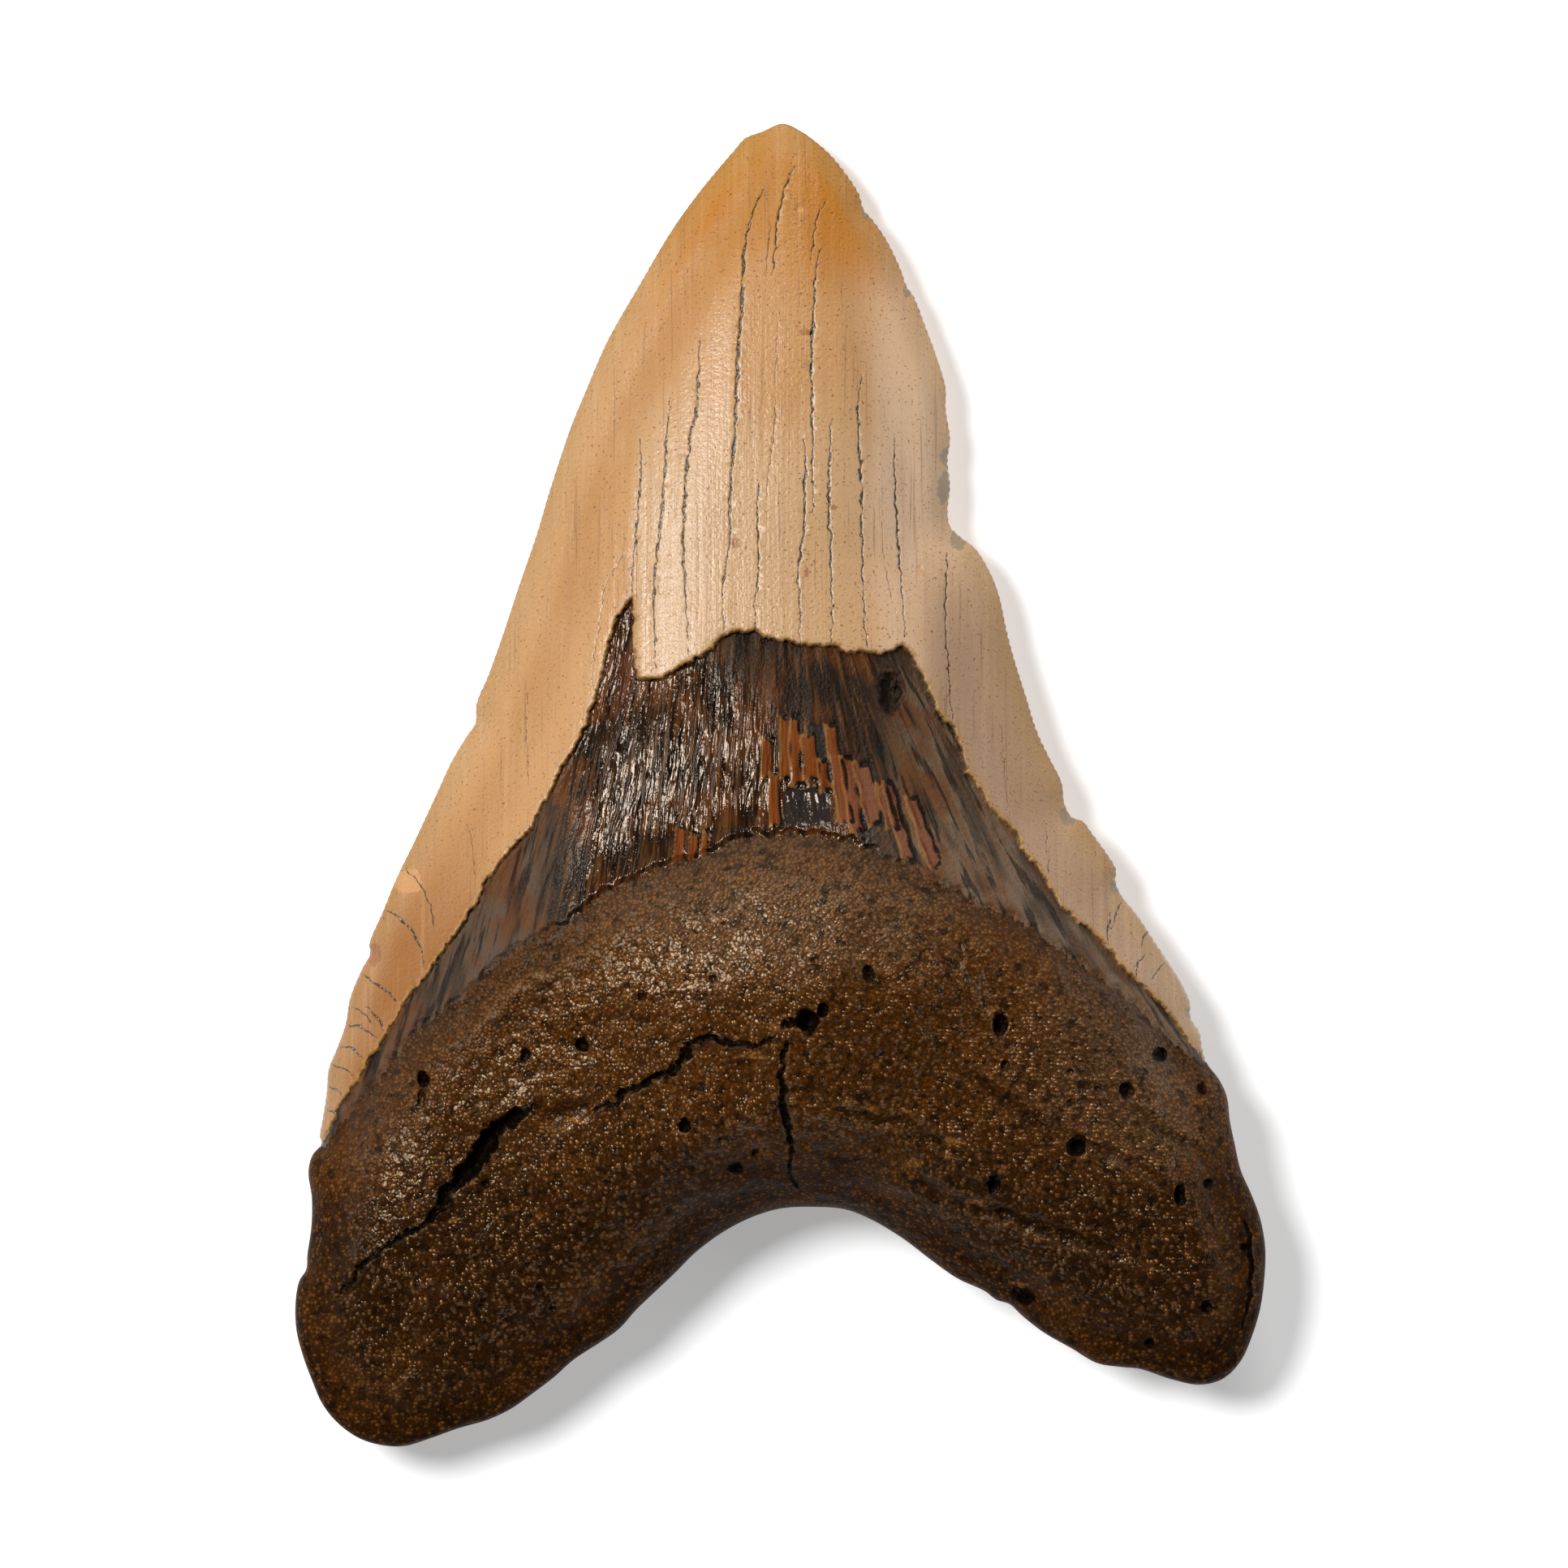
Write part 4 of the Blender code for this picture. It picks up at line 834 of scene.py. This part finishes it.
def rimPairs(top, flat):
    # rim points of the domed face matched with those of the flat face
    places = {tuple(p): i for i, p in enumerate(np.round(flat, 3).tolist())}
    onRim = {tuple(p) for p in np.round(rim, 3).tolist()}
    return {i: places[tuple(p)] for i, p in enumerate(np.round(top, 3).tolist()) if tuple(p) in onRim}


def relief(solid, top, toEnamel, toRoot, depth):
    # fine form pushed along the surface's own normal: fibres, root grain, waves and crumbs of the enamel
    flat = solid[:, :2]
    push = np.zeros(len(solid))
    isEnamel = toEnamel >= 0
    isRoot = ~isEnamel & (~top | (toRoot < 0))
    isBourlette = ~isRoot & ~isEnamel
    for size, height, seed in grain["root"]:
        push[isRoot] += height * (lumps(solid[isRoot], size, seed) - 0.5)
    across = fanAcross(flat[isBourlette])
    for width, length, height, seed in fibres["ridges"]:
        where = np.column_stack([across / width, flat[isBourlette, 1] / length])
        push[isBourlette] += height * (lumps(where, 1.0, seed) - 0.4)
    for width, length, height, seed in grain["enamel"]:
        push[isEnamel] += height * (lumps(flat[isEnamel], np.array([width, length]), seed) - 0.4)
    size, height = grain["rimCrumbs"]
    crumbly = isEnamel & top & (toEnamel < 0.7)
    push[crumbly] += height * lumps(solid[crumbly], size, 2.2) * (1 - ease(toEnamel[crumbly], 0.1, 0.7))
    return push * ease(depth, 0, 0.8)


stainAndShadeZones = ["valley", "edgeLight", "rightSide", "tipWarmth", "centreStreak", "panelPale", "lowLeft",
              "lowRight", "rootGrey", "rootLowShade", "rootSide", "matteSkin", "brownArms", "redWedge"]


def stainsAndShade(points, depth):
    # soft zones of colour in the enamel, from 0 to 1, in the order of the zone names above; the lower root's
    # dark zone among them is painted shade
    x, y = points.T
    drift = 2.2 * lumps(points, 11.0, 15.0)
    left = ease(-x - 0.16 * (40 - y), 2, 9)
    notch = np.exp(-((x - 2) / 20) ** 2) * (1 - ease(y, -40, -30))
    return [
        np.exp(-((depth - 5.4 - drift * 0.4) / 2.0) ** 2) * left * ease(y, -38, -20),
        1 - ease(depth, 0.4, 3.4),
        ease(x + drift, 5, 13),
        ease(y + drift * 2, 42, 62),
        ease(x + drift * 0.3, -5.5, -3.8) * (1 - ease(x, 1.5, 3.6)) * ease(y, 26, 44),
        ease(x, -15.5, -14.5) * (1 - ease(x + drift * 0.5, 6, 11)) * (1 - ease(y + drift, 30, 44)),
        left * (1 - ease(y + x * 0.2 + drift, -34, 2)),
        ease(x, 12, 17) * (1 - ease(y + drift * 0.5, 10, 32)),
        np.maximum(ease(y - 0.012 * x ** 2 + drift, -26, -12) * 0.9,
                   ease(x + drift, 18, 36) * ease(y, -46, -30)),
        # darker towards the bottom of the root: painted shade where the lobes face away from the lamp
        1 - ease(y + 0.1 * np.abs(x) + drift * 1.5, -44, -27),
        np.maximum(1 - ease(depth, 2, 7), (1 - ease(depth, 6, 13)) * notch),
        np.maximum(ease(np.abs(x + 6) + drift, 12, 18), ease(y + 1.1 * (x + 9) + drift, 10, 20)),
        np.maximum(ease(x + drift, 8, 20), ease(-x + drift, 20, 28)),
        ease(-x, 12.8, 14.2) * ease(y, 5, 10),
    ]


def buildTooth():
    top, topFaces = planDomedFace()
    print("domed face:", len(top), "points")
    flat, flatFaces = planFlatFace()
    print("flat face:", len(flat), "points")
    toEnamel = besideLine(top, enamelMargin, 1)
    toRoot = besideLine(top, rootMargin, 1)
    underCrown = besideLine(flat, flatArch, 1)
    height, depth, dark, lip = domedFace(top, toEnamel, toRoot)
    flatHeight, flatDepth = flatFaceHeight(flat, underCrown)
    pairs = rimPairs(top, flat)
    rimTop = np.array(list(pairs))
    height[rimTop] = edgeHeight(top[rimTop])
    depth[rimTop] = 0
    solid = np.vstack([np.column_stack([top, height]), np.column_stack([flat, flatHeight])])
    mesh = bpy.data.meshes.new("tooth_skin")
    swap = np.arange(len(solid))
    swap[len(top) + np.array(list(pairs.values()))] = rimTop
    faces = np.vstack([topFaces, swap[len(top) + flatFaces[:, ::-1]]])
    used = np.zeros(len(solid), bool)
    used[faces] = True
    newIndex = np.cumsum(used) - 1
    isTop = np.arange(len(solid)) < len(top)
    pad = lambda values, fill: np.concatenate([values, fill])[used]
    fromEdge = pad(depth, flatDepth)
    marks = {
        "toEnamel": pad(toEnamel, underCrown),
        "toRoot": pad(toRoot, underCrown),
        # dark of cracks (dark fill and painted shade) and of creases and holes (painted shade)
        "crackDarkAndShade": pad(dark, np.zeros(len(flat))),
        # raised lips of cracks and creases on the lamp's side, painted lighter in the finishes
        "crackLitLip": pad(lip, np.zeros(len(flat))),
        "fibre": pad(fanAcross(top), fanAcross(flat)),
        **{name: pad(values, np.zeros(len(flat))) for name, values in zip(
            ["rust", "bareDark", "flakeLit", "flakeGap"], flakeMarks(top))},
        **{kind + "Chip": pad(chipShare(top, kind), np.zeros(len(flat))) for kind in chips},
        **{name: pad(values, under) for name, values, under in zip(
            stainAndShadeZones, stainsAndShade(top, depth), stainsAndShade(flat, flatDepth))},
    }
    solid, isTop, faces = solid[used], isTop[used], newIndex[faces]
    mesh.from_pydata((solid * mm).tolist(), [], faces.tolist())
    normals = np.zeros(len(solid) * 3, np.float32)
    mesh.vertex_normals.foreach_get("vector", normals)
    push = relief(solid, isTop, marks["toEnamel"], marks["toRoot"], fromEdge)
    solid += normals.reshape(-1, 3) * push[:, None]
    solid = keptInBox(solid)
    mesh.vertices.foreach_set("co", (solid * mm).astype(np.float32).ravel())
    for name, values in marks.items():
        mesh.attributes.new(name, "FLOAT", "POINT").data.foreach_set("value", values.astype(np.float32))
    faceTop = isTop[faces].all(axis=1)
    enamelHere = marks["toEnamel"][faces].mean(axis=1) > 0
    rootHere = marks["toRoot"][faces].mean(axis=1) < 0
    finish = np.where(enamelHere, 0, np.where(rootHere | ~faceTop, 2, 1))
    mesh.polygons.foreach_set("material_index", finish.astype(np.int32))
    mesh.validate()
    mesh.shade_smooth()
    tooth = bpy.data.objects.new("tooth_dressed", mesh)
    bpy.context.scene.collection.objects.link(tooth)
    print("tooth:", len(mesh.vertices), "points,", len(mesh.polygons), "triangles")
    return tooth


def keptInBox(solid):
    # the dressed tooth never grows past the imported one
    low, high = np.array(toothLow) / mm, np.array(toothHigh) / mm
    mine = solid.min(axis=0), solid.max(axis=0)
    scale = np.minimum((high - low) / (mine[1] - mine[0]), 1.0)
    moved = (solid - (mine[0] + mine[1]) / 2) * scale + (low + high) / 2
    moved[:, 2] += low[2] - moved[:, 2].min()
    return moved


tooth = buildTooth()


def toLinear(code):
    parts = [int(code[i:i + 2], 16) / 255 for i in (1, 3, 5)]
    return tuple(c / 12.92 if c <= 0.04045 else ((c + 0.055) / 1.055) ** 2.4 for c in parts) + (1.0,)


def connect(tree, node, links):
    # each input is linked to a socket or given a value
    for name, value in links.items():
        if isinstance(value, bpy.types.NodeSocket):
            tree.links.new(value, node.inputs[name])
        else:
            node.inputs[name].default_value = value


def addNode(tree, kind, links, settings=None, output=0):
    # one node with its settings and links; what comes back is the output that is asked for
    node = tree.nodes.new("ShaderNode" + kind)
    for name, value in (settings or {}).items():
        setattr(node, name, value)
    connect(tree, node, links)
    return node.outputs[output]


def newFinish(name, *markNames):
    made = bpy.data.materials.new(name)
    made.use_nodes = True
    tree = made.node_tree
    place = addNode(tree, "TexCoord", {}, output="Object")
    marks = {mark: addNode(tree, "Attribute", {}, {"attribute_name": mark}, "Fac") for mark in markNames}
    return made, tree, place, marks


def painted(tree, colour, layers):
    # colours laid over each other: each has a mask, where that starts and is full, a strength and a colour
    for mask, start, full, strength, code in layers:
        over = toLinear(code) if isinstance(code, str) else code
        share = addNode(tree, "MapRange", {0: mask, "From Min": start, "From Max": full, "To Max": strength},
                        {"interpolation_type": "SMOOTHSTEP"})
        colour = addNode(tree, "Mix", {0: share, 6: colour, 7: over}, {"data_type": "RGBA"}, 2)
    return colour


def zoneLayers(finish, marks):
    return [(marks[name], 0, 1, strength, code) for name, (strength, code) in finish["zones"].items()]


def speckle(tree, place, sizes, detail):
    # noise whose grain has the given sizes across, along and up, in mm
    mapped = addNode(tree, "Mapping", {"Vector": place, "Scale": tuple(1 / (size * mm) for size in sizes)})
    return addNode(tree, "TexNoise", {"Vector": mapped, "Scale": 1.0, "Detail": detail, "Roughness": 0.55})


# fossil enamel: glassy apatite over tan dentine, worn smooth by sand and water: glossy, with soft streaks
polishedEnamel = {
    "base": "#c1905c",
    "zones": {  # strength and colour of each stained zone
        "rightSide": (1, "#d2ad89"),
        "lowRight": (0.62, "#80634a"),
        "panelPale": (0.85, "#c49d71"),
        "tipWarmth": (0.95, "#b3701c"),
        "centreStreak": (0.55, "#b27b38"),
        "valley": (0.5, "#a6712f"),
        "lowLeft": (0.9, "#8e5618"),
        "edgeLight": (0.5, "#a67c38"),
    },
    "ior": 1.62,
    "shine": (0.5, 0.2),  # specular level where it is clean, and where it is stained
    "roughness": (0.32, 0.45),
    "streakWidth": 0.7,  # the real prisms are too fine to show, so this is far coarser
    "hairWidth": 0.3,
    "pinholeSize": 0.3,
    "chipGrain": 0.5,
    "sandSize": (0.24, 0.3, 0.24),
    "peelSize": 0.4,
    "bumpHeight": 0.12,
}


def enamelFinish():
    enamel = polishedEnamel
    made, tree, place, marks = newFinish("polishedFossilEnamel", *enamel["zones"], "toEnamel", "crackDarkAndShade",
                                         "crackLitLip", "greyChip", "paleChip", "rustChip")
    dark = marks["crackDarkAndShade"]
    streak = speckle(tree, place, (enamel["streakWidth"], 28, 28), 4)
    hairlines = speckle(tree, place, (enamel["hairWidth"], 16, 16), 2)
    cloud = speckle(tree, place, (9, 14, 9), 3)
    pinholes = speckle(tree, place, (enamel["pinholeSize"],) * 3, 1)
    crumbs = speckle(tree, place, (enamel["chipGrain"],) * 3, 2)
    flecks = speckle(tree, place, (enamel["chipGrain"],) * 3, 4)
    sand = speckle(tree, place, enamel["sandSize"], 1)
    orangePeel = speckle(tree, place, (enamel["peelSize"],) * 3, 2)
    # pale grains in the cracks: sand, brightened into painted glints
    sandAndGlintsInCracks = addNode(tree, "Math", {0: sand, 1: dark}, {"operation": "MULTIPLY"})
    crumblyRimAndShade, greyChip, paleChip, rustChip = [
        addNode(tree, "Math", {0: grain, 1: share, 2: marks[name]}, {"operation": "MULTIPLY_ADD"})
        for grain, share, name in ((crumbs, 1.4, "toEnamel"), (flecks, 1.6, "greyChip"),
                                   (flecks, 1.6, "paleChip"), (flecks, 1.6, "rustChip"))]
    colour = painted(tree, toLinear(enamel["base"]), zoneLayers(enamel, marks) + [
        (cloud, 0.5, 0.72, 0.2, "#cfa276"),
        (cloud, 0.5, 0.3, 0.2, "#a27242"),
        (streak, 0.52, 0.7, 0.2, "#a0764a"),
        (streak, 0.48, 0.34, 0.15, "#d2a87c"),
        (hairlines, 0.63, 0.70, 0.45, "#7d5c3c"),
        (pinholes, 0.66, 0.70, 0.75, "#82481c"),
        (greyChip, 1.25, 1.6, 0.75, "#80745f"),
        (paleChip, 1.2, 1.55, 0.7, "#cc935a"),
        (rustChip, 1.25, 1.7, 0.6, "#8c4a20"),
        # broken enamel rim: golden crumbs, partly painted light, then a dark band of painted shadow under the
        # break
        (crumblyRimAndShade, 1.28, 0.98, 0.75, "#a87c42"),
        (crumblyRimAndShade, 0.98, 0.74, 0.75, "#58360f"),
        # lips of cracks on the side facing the key lamp: painted light
        (marks["crackLitLip"], 0.05, 0.3, 0.4, "#e2c6a0"),
        # cracks, creases and holes: dark fill and painted shade
        (dark, 0.2, 0.75, 0.95, "#1e140c"),
        # sand grains in the cracks with painted glints
        (sandAndGlintsInCracks, 0.48, 0.56, 0.7, "#c9b597"),
    ])
    stained = addNode(tree, "Math", {0: marks["tipWarmth"], 1: marks["lowLeft"]}, {"operation": "MAXIMUM"})
    stained = addNode(tree, "Math", {0: stained, 1: marks["lowRight"]}, {"operation": "MAXIMUM"})
    shine = addNode(tree, "Mix", {0: stained, 2: enamel["shine"][0], 3: enamel["shine"][1]})
    smooth, dull = enamel["roughness"]
    rough = addNode(tree, "MapRange", {
        0: streak, "From Min": 0.3, "From Max": 0.7, "To Min": smooth, "To Max": dull})
    height = addNode(tree, "Math", {0: streak, 1: 1.2, 2: orangePeel}, {"operation": "MULTIPLY_ADD"})
    bump = addNode(tree, "Bump", {"Strength": 0.8, "Distance": enamel["bumpHeight"] * mm, "Height": height})
    connect(tree, tree.nodes["Principled BSDF"], {
        "Base Color": colour, "Roughness": rough, "Specular IOR Level": shine, "Normal": bump,
        "IOR": enamel["ior"]})
    return made


# bourlette: a thin skin of fibrous dark orthodentine, split along its fibres: glints like lacquered wood
lacqueredBourlette = {
    "base": "#24170e",
    "rust": "#763a0f",
    "glint": "#f4dfca",
    "ior": 1.6,
    "roughness": (0.12, 0.48, 0.6),  # lacquered, worn and rusty
    "shine": (0.42, 0.16, 0.1),
    "fibreWidth": 0.42,  # bundles of fibres: a single one is too fine to show
    "fibreLength": 6.0,
    "ridgeWidth": 0.8,
    "bumpHeight": 0.2,
}


def bourletteFinish():
    skin = lacqueredBourlette
    made, tree, place, marks = newFinish(
        "lacqueredBourlette", "fibre", "rust", "bareDark", "crackDarkAndShade", "rustChip", "brownArms", "redWedge",
        "flakeGap", "flakeLit", "matteSkin")
    rust, dark, matte = marks["rust"], marks["crackDarkAndShade"], marks["matteSkin"]
    split = addNode(tree, "SeparateXYZ", {0: place}).node.outputs
    fibre = addNode(tree, "Math", {0: marks["fibre"], 1: mm}, {"operation": "MULTIPLY"})
    along = addNode(tree, "CombineXYZ", {"X": fibre, "Y": split["Y"], "Z": split["Z"]})
    threads = speckle(tree, along, (skin["fibreWidth"], skin["fibreLength"], 9), 3)
    bundles = speckle(tree, along, (1.3, 9, 20), 2)
    cloud = speckle(tree, place, (6, 6, 6), 3)
    grainFine = speckle(tree, place, (0.34, 0.5, 0.34), 2)
    rusty = painted(tree, toLinear(skin["rust"]), [
        (split["X"], 0.004, 0.009, 0.85, "#744a37"),
        (threads, 0.48, 0.38, 0.6, "#4a1f08"),
    ])
    colour = painted(tree, toLinear(skin["base"]), [
        (marks["brownArms"], 0, 1, 0.85, "#5a493b"),
        (split["X"], 0.008, 0.016, 0.75, "#715c48"),
        (marks["redWedge"], 0, 1, 0.85, "#4c2410"),
        (cloud, 0.46, 0.62, 0.75, "#5a3114"),
        (bundles, 0.5, 0.62, 0.6, "#150e09"),
        (threads, 0.5, 0.66, 0.6, "#65401f"),
        (threads, 0.47, 0.36, 0.8, "#0d0806"),
        (marks["bareDark"], 0.3, 0.8, 0.9, "#2a2624"),
        (marks["rustChip"], 0.2, 0.7, 0.6, "#45291a"),
        (rust, 0.3, 0.8, 0.95, rusty),
        (marks["flakeGap"], 0.3, 0.8, 0.95, "#0b0705"),
        (marks["flakeLit"], 0.3, 0.9, 0.55, "#9c6a36"),
        # cracks, creases and holes: dark fill and painted shade
        (dark, 0.2, 0.8, 0.9, "#0c0806"),
    ])
    worn = addNode(tree, "Math", {0: matte, 1: dark}, {"operation": "MAXIMUM"})
    rough, shine = [
        addNode(tree, "Mix", {0: rust, 2: addNode(tree, "Mix", {0: worn, 2: fresh, 3: old}), 3: bare})
        for fresh, old, bare in (skin["roughness"], skin["shine"])]
    wander = addNode(tree, "Math", {0: bundles, 1: 4 * mm, 2: fibre}, {"operation": "MULTIPLY_ADD"})
    turns = addNode(tree, "Math", {0: wander, 1: 2 * math.pi / (skin["ridgeWidth"] * mm)},
                    {"operation": "MULTIPLY"})
    ridge = addNode(tree, "Math", {0: turns}, {"operation": "SINE"})
    ridgeAndThread = addNode(tree, "Math", {0: ridge, 1: 0.26, 2: threads}, {"operation": "MULTIPLY_ADD"})
    splitHeight = addNode(tree, "Math", {0: grainFine, 1: 0.25, 2: ridgeAndThread},
                          {"operation": "MULTIPLY_ADD"})
    height = addNode(tree, "Mix", {0: matte, 2: splitHeight, 3: grainFine})
    bump = addNode(tree, "Bump", {"Strength": 1.0, "Distance": skin["bumpHeight"] * mm, "Height": height})
    connect(tree, tree.nodes["Principled BSDF"], {
        "Base Color": colour, "Roughness": rough, "Specular IOR Level": shine, "Normal": bump,
        "IOR": skin["ior"], "Specular Tint": toLinear(skin["glint"])})
    return made


# root: porous osteodentine stained by iron, waxed by handling, so its pores are dark and its crumbs sparkle
porousRoot = {
    "base": "#5c330b",
    # the grey zone is the root's own colour; the dark lower zone is painted shade
    "zones": {"rootGrey": (0.75, "#6a4c32"), "rootLowShade": (0.9, "#2f1703")},
    "glint": "#e8cba8",  # the wax in its pores is brown, so its glints are golden
    "ior": 1.58,
    "roughness": (0.26, 0.6),  # waxed and dusty
    "shine": (0.42, 0.04),
    "crumbSize": 0.38,  # coarser than the real crumbs, so that they show
    "poreSize": 1.1,
    "bumpHeight": 0.12,
}


def rootFinish():
    bone = porousRoot
    made, tree, place, marks = newFinish("porousStainedRoot", *bone["zones"], "crackDarkAndShade", "toRoot",
                                         "crackLitLip", "crumbChip", "rootSide")
    dark, toRoot = marks["crackDarkAndShade"], marks["toRoot"]
    pores = speckle(tree, place, (bone["poreSize"],) * 3, 3)
    patches = speckle(tree, place, (7, 7, 7), 4)
    broad = speckle(tree, place, (22, 22, 22), 3)
    cells = addNode(tree, "Mapping", {"Vector": place, "Scale": (1 / (bone["crumbSize"] * mm),) * 3})
    crumbs = addNode(tree, "TexVoronoi", {"Vector": cells, "Scale": 1.0}, {"feature": "F1"}).node.outputs
    colour = painted(tree, toLinear(bone["base"]), zoneLayers(bone, marks) + [
        (broad, 0.5, 0.65, 0.4, "#2e1806"),
        (patches, 0.5, 0.68, 0.5, "#663a12"),
        # lips of fissures and creases on the side facing the key lamp: painted light
        (marks["crackLitLip"], 0.2, 1, 0.65, "#85603a"),
        (marks["crumbChip"], 0.1, 0.8, 0.85, "#93602c"),
        (crumbs["Color"], 0.5, 0.85, 0.5, "#8d5a26"),
        (crumbs["Distance"], 0.3, 0.6, 0.6, "#190d05"),
        (pores, 0.47, 0.36, 0.75, "#120903"),
        # painted shadow along the root just under the bourlette's step
        (toRoot, -2.5, -0.2, 0.35, "#30221a"),
        # cracks, creases and holes: dark fill and painted shade
        (dark, 0.1, 0.7, 0.97, "#060302"),
    ])
    proud = addNode(tree, "MapRange", {
        0: crumbs["Color"], "From Min": 0.5, "From Max": 0.62, "To Min": -0.4, "To Max": -1.7})
    bead = addNode(tree, "Math", {0: crumbs["Distance"], 1: proud}, {"operation": "MULTIPLY"})
    height = addNode(tree, "Math", {0: pores, 1: 0.9, 2: bead}, {"operation": "MULTIPLY_ADD"})
    bump = addNode(tree, "Bump", {"Strength": 1.0, "Distance": bone["bumpHeight"] * mm, "Height": height})
    underSkin = addNode(tree, "MapRange", {0: toRoot, "From Min": -7, "From Max": -2, "To Max": 0.55})
    dusty = addNode(tree, "Math", {0: marks["rootSide"], 1: dark}, {"operation": "MAXIMUM"})
    dusty = addNode(tree, "Math", {0: dusty, 1: underSkin}, {"operation": "MAXIMUM"})
    rough, shine = [addNode(tree, "Mix", {0: dusty, 2: waxed, 3: dull})
                    for waxed, dull in (bone["roughness"], bone["shine"])]
    connect(tree, tree.nodes["Principled BSDF"], {
        "Base Color": colour, "Roughness": rough, "Specular IOR Level": shine, "Normal": bump,
        "IOR": bone["ior"], "Specular Tint": toLinear(bone["glint"])})
    return made


for finish in (enamelFinish(), bourletteFinish(), rootFinish()):
    tooth.data.materials.append(finish)
print("finishes:", [m.name for m in tooth.data.materials])
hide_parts("tooth")
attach(tooth, "root")

# studio: a white table, one big soft lamp at the upper left, and weaker ones to open the shadows
studio = {
    "floorSize": 4.0,
    "floorColour": "#f9f9f9",
    "floorGlow": 0.38,
    "cameraHeight": 1.4,
    "photoWidth": 1932,
    "photoScale": 0.0825,  # mm for each pixel of the picture
    "photoCentre": (0.37, 0.0),
    "outlineHeight": 6.5,
    "lamps": [  # name, direction towards it, distance, size, power
        ("keyLamp", (-0.47, 0.25, 0.86), 1.3, 0.46, 16.0),
        ("topLamp", (0.1, 0.85, 0.45), 1.4, 0.6, 7.0),
        ("fillLamp", (0.9, 0.0, 0.35), 1.6, 0.6, 4.0),
    ],
    "world": 0.03,
}


def studioFloor():
    half = studio["floorSize"] / 2
    mesh = bpy.data.meshes.new("table")
    corners = [(-half, -half, 0), (half, -half, 0), (half, half, 0), (-half, half, 0)]
    mesh.from_pydata(corners, [], [(0, 1, 2, 3)])
    floor = bpy.data.objects.new("table", mesh)
    floor.location.z = -0.02 * mm
    made = bpy.data.materials.new("paintedTable")
    made.use_nodes = True
    white = toLinear(studio["floorColour"])
    connect(made.node_tree, made.node_tree.nodes["Principled BSDF"], {
        "Base Color": white, "Roughness": 0.9, "Specular IOR Level": 0.1,
        "Emission Color": white, "Emission Strength": studio["floorGlow"]})
    mesh.materials.append(made)
    bpy.context.scene.collection.objects.link(floor)


def studioLamps():
    for name, direction, distance, size, power in studio["lamps"]:
        lamp = bpy.data.lights.new(name, "AREA")
        lamp.shape = "DISK"
        lamp.size = size
        lamp.energy = power
        holder = bpy.data.objects.new(name, lamp)
        towards = Vector(direction).normalized()
        holder.location = towards * distance
        holder.rotation_euler = towards.to_track_quat("Z", "Y").to_euler()
        bpy.context.scene.collection.objects.link(holder)
    world = bpy.data.worlds.new("studio")
    world.use_nodes = True
    connect(world.node_tree, world.node_tree.nodes["Background"], {
        "Color": (1, 1, 1, 1), "Strength": studio["world"]})
    bpy.context.scene.world = world


def studioCamera():
    lens = bpy.data.cameras.new("camera")
    camera = bpy.data.objects.new("camera", lens)
    across, along = studio["photoCentre"]
    camera.location = (across * mm, along * mm, studio["cameraHeight"])
    pictureWidth = studio["photoWidth"] * studio["photoScale"] * mm
    lens.lens = lens.sensor_width * (studio["cameraHeight"] - studio["outlineHeight"] * mm) / pictureWidth
    bpy.context.scene.collection.objects.link(camera)
    bpy.context.scene.camera = camera


studioFloor()
studioLamps()
studioCamera()
bpy.context.scene.view_settings.view_transform = "Standard"
print("studio ready")
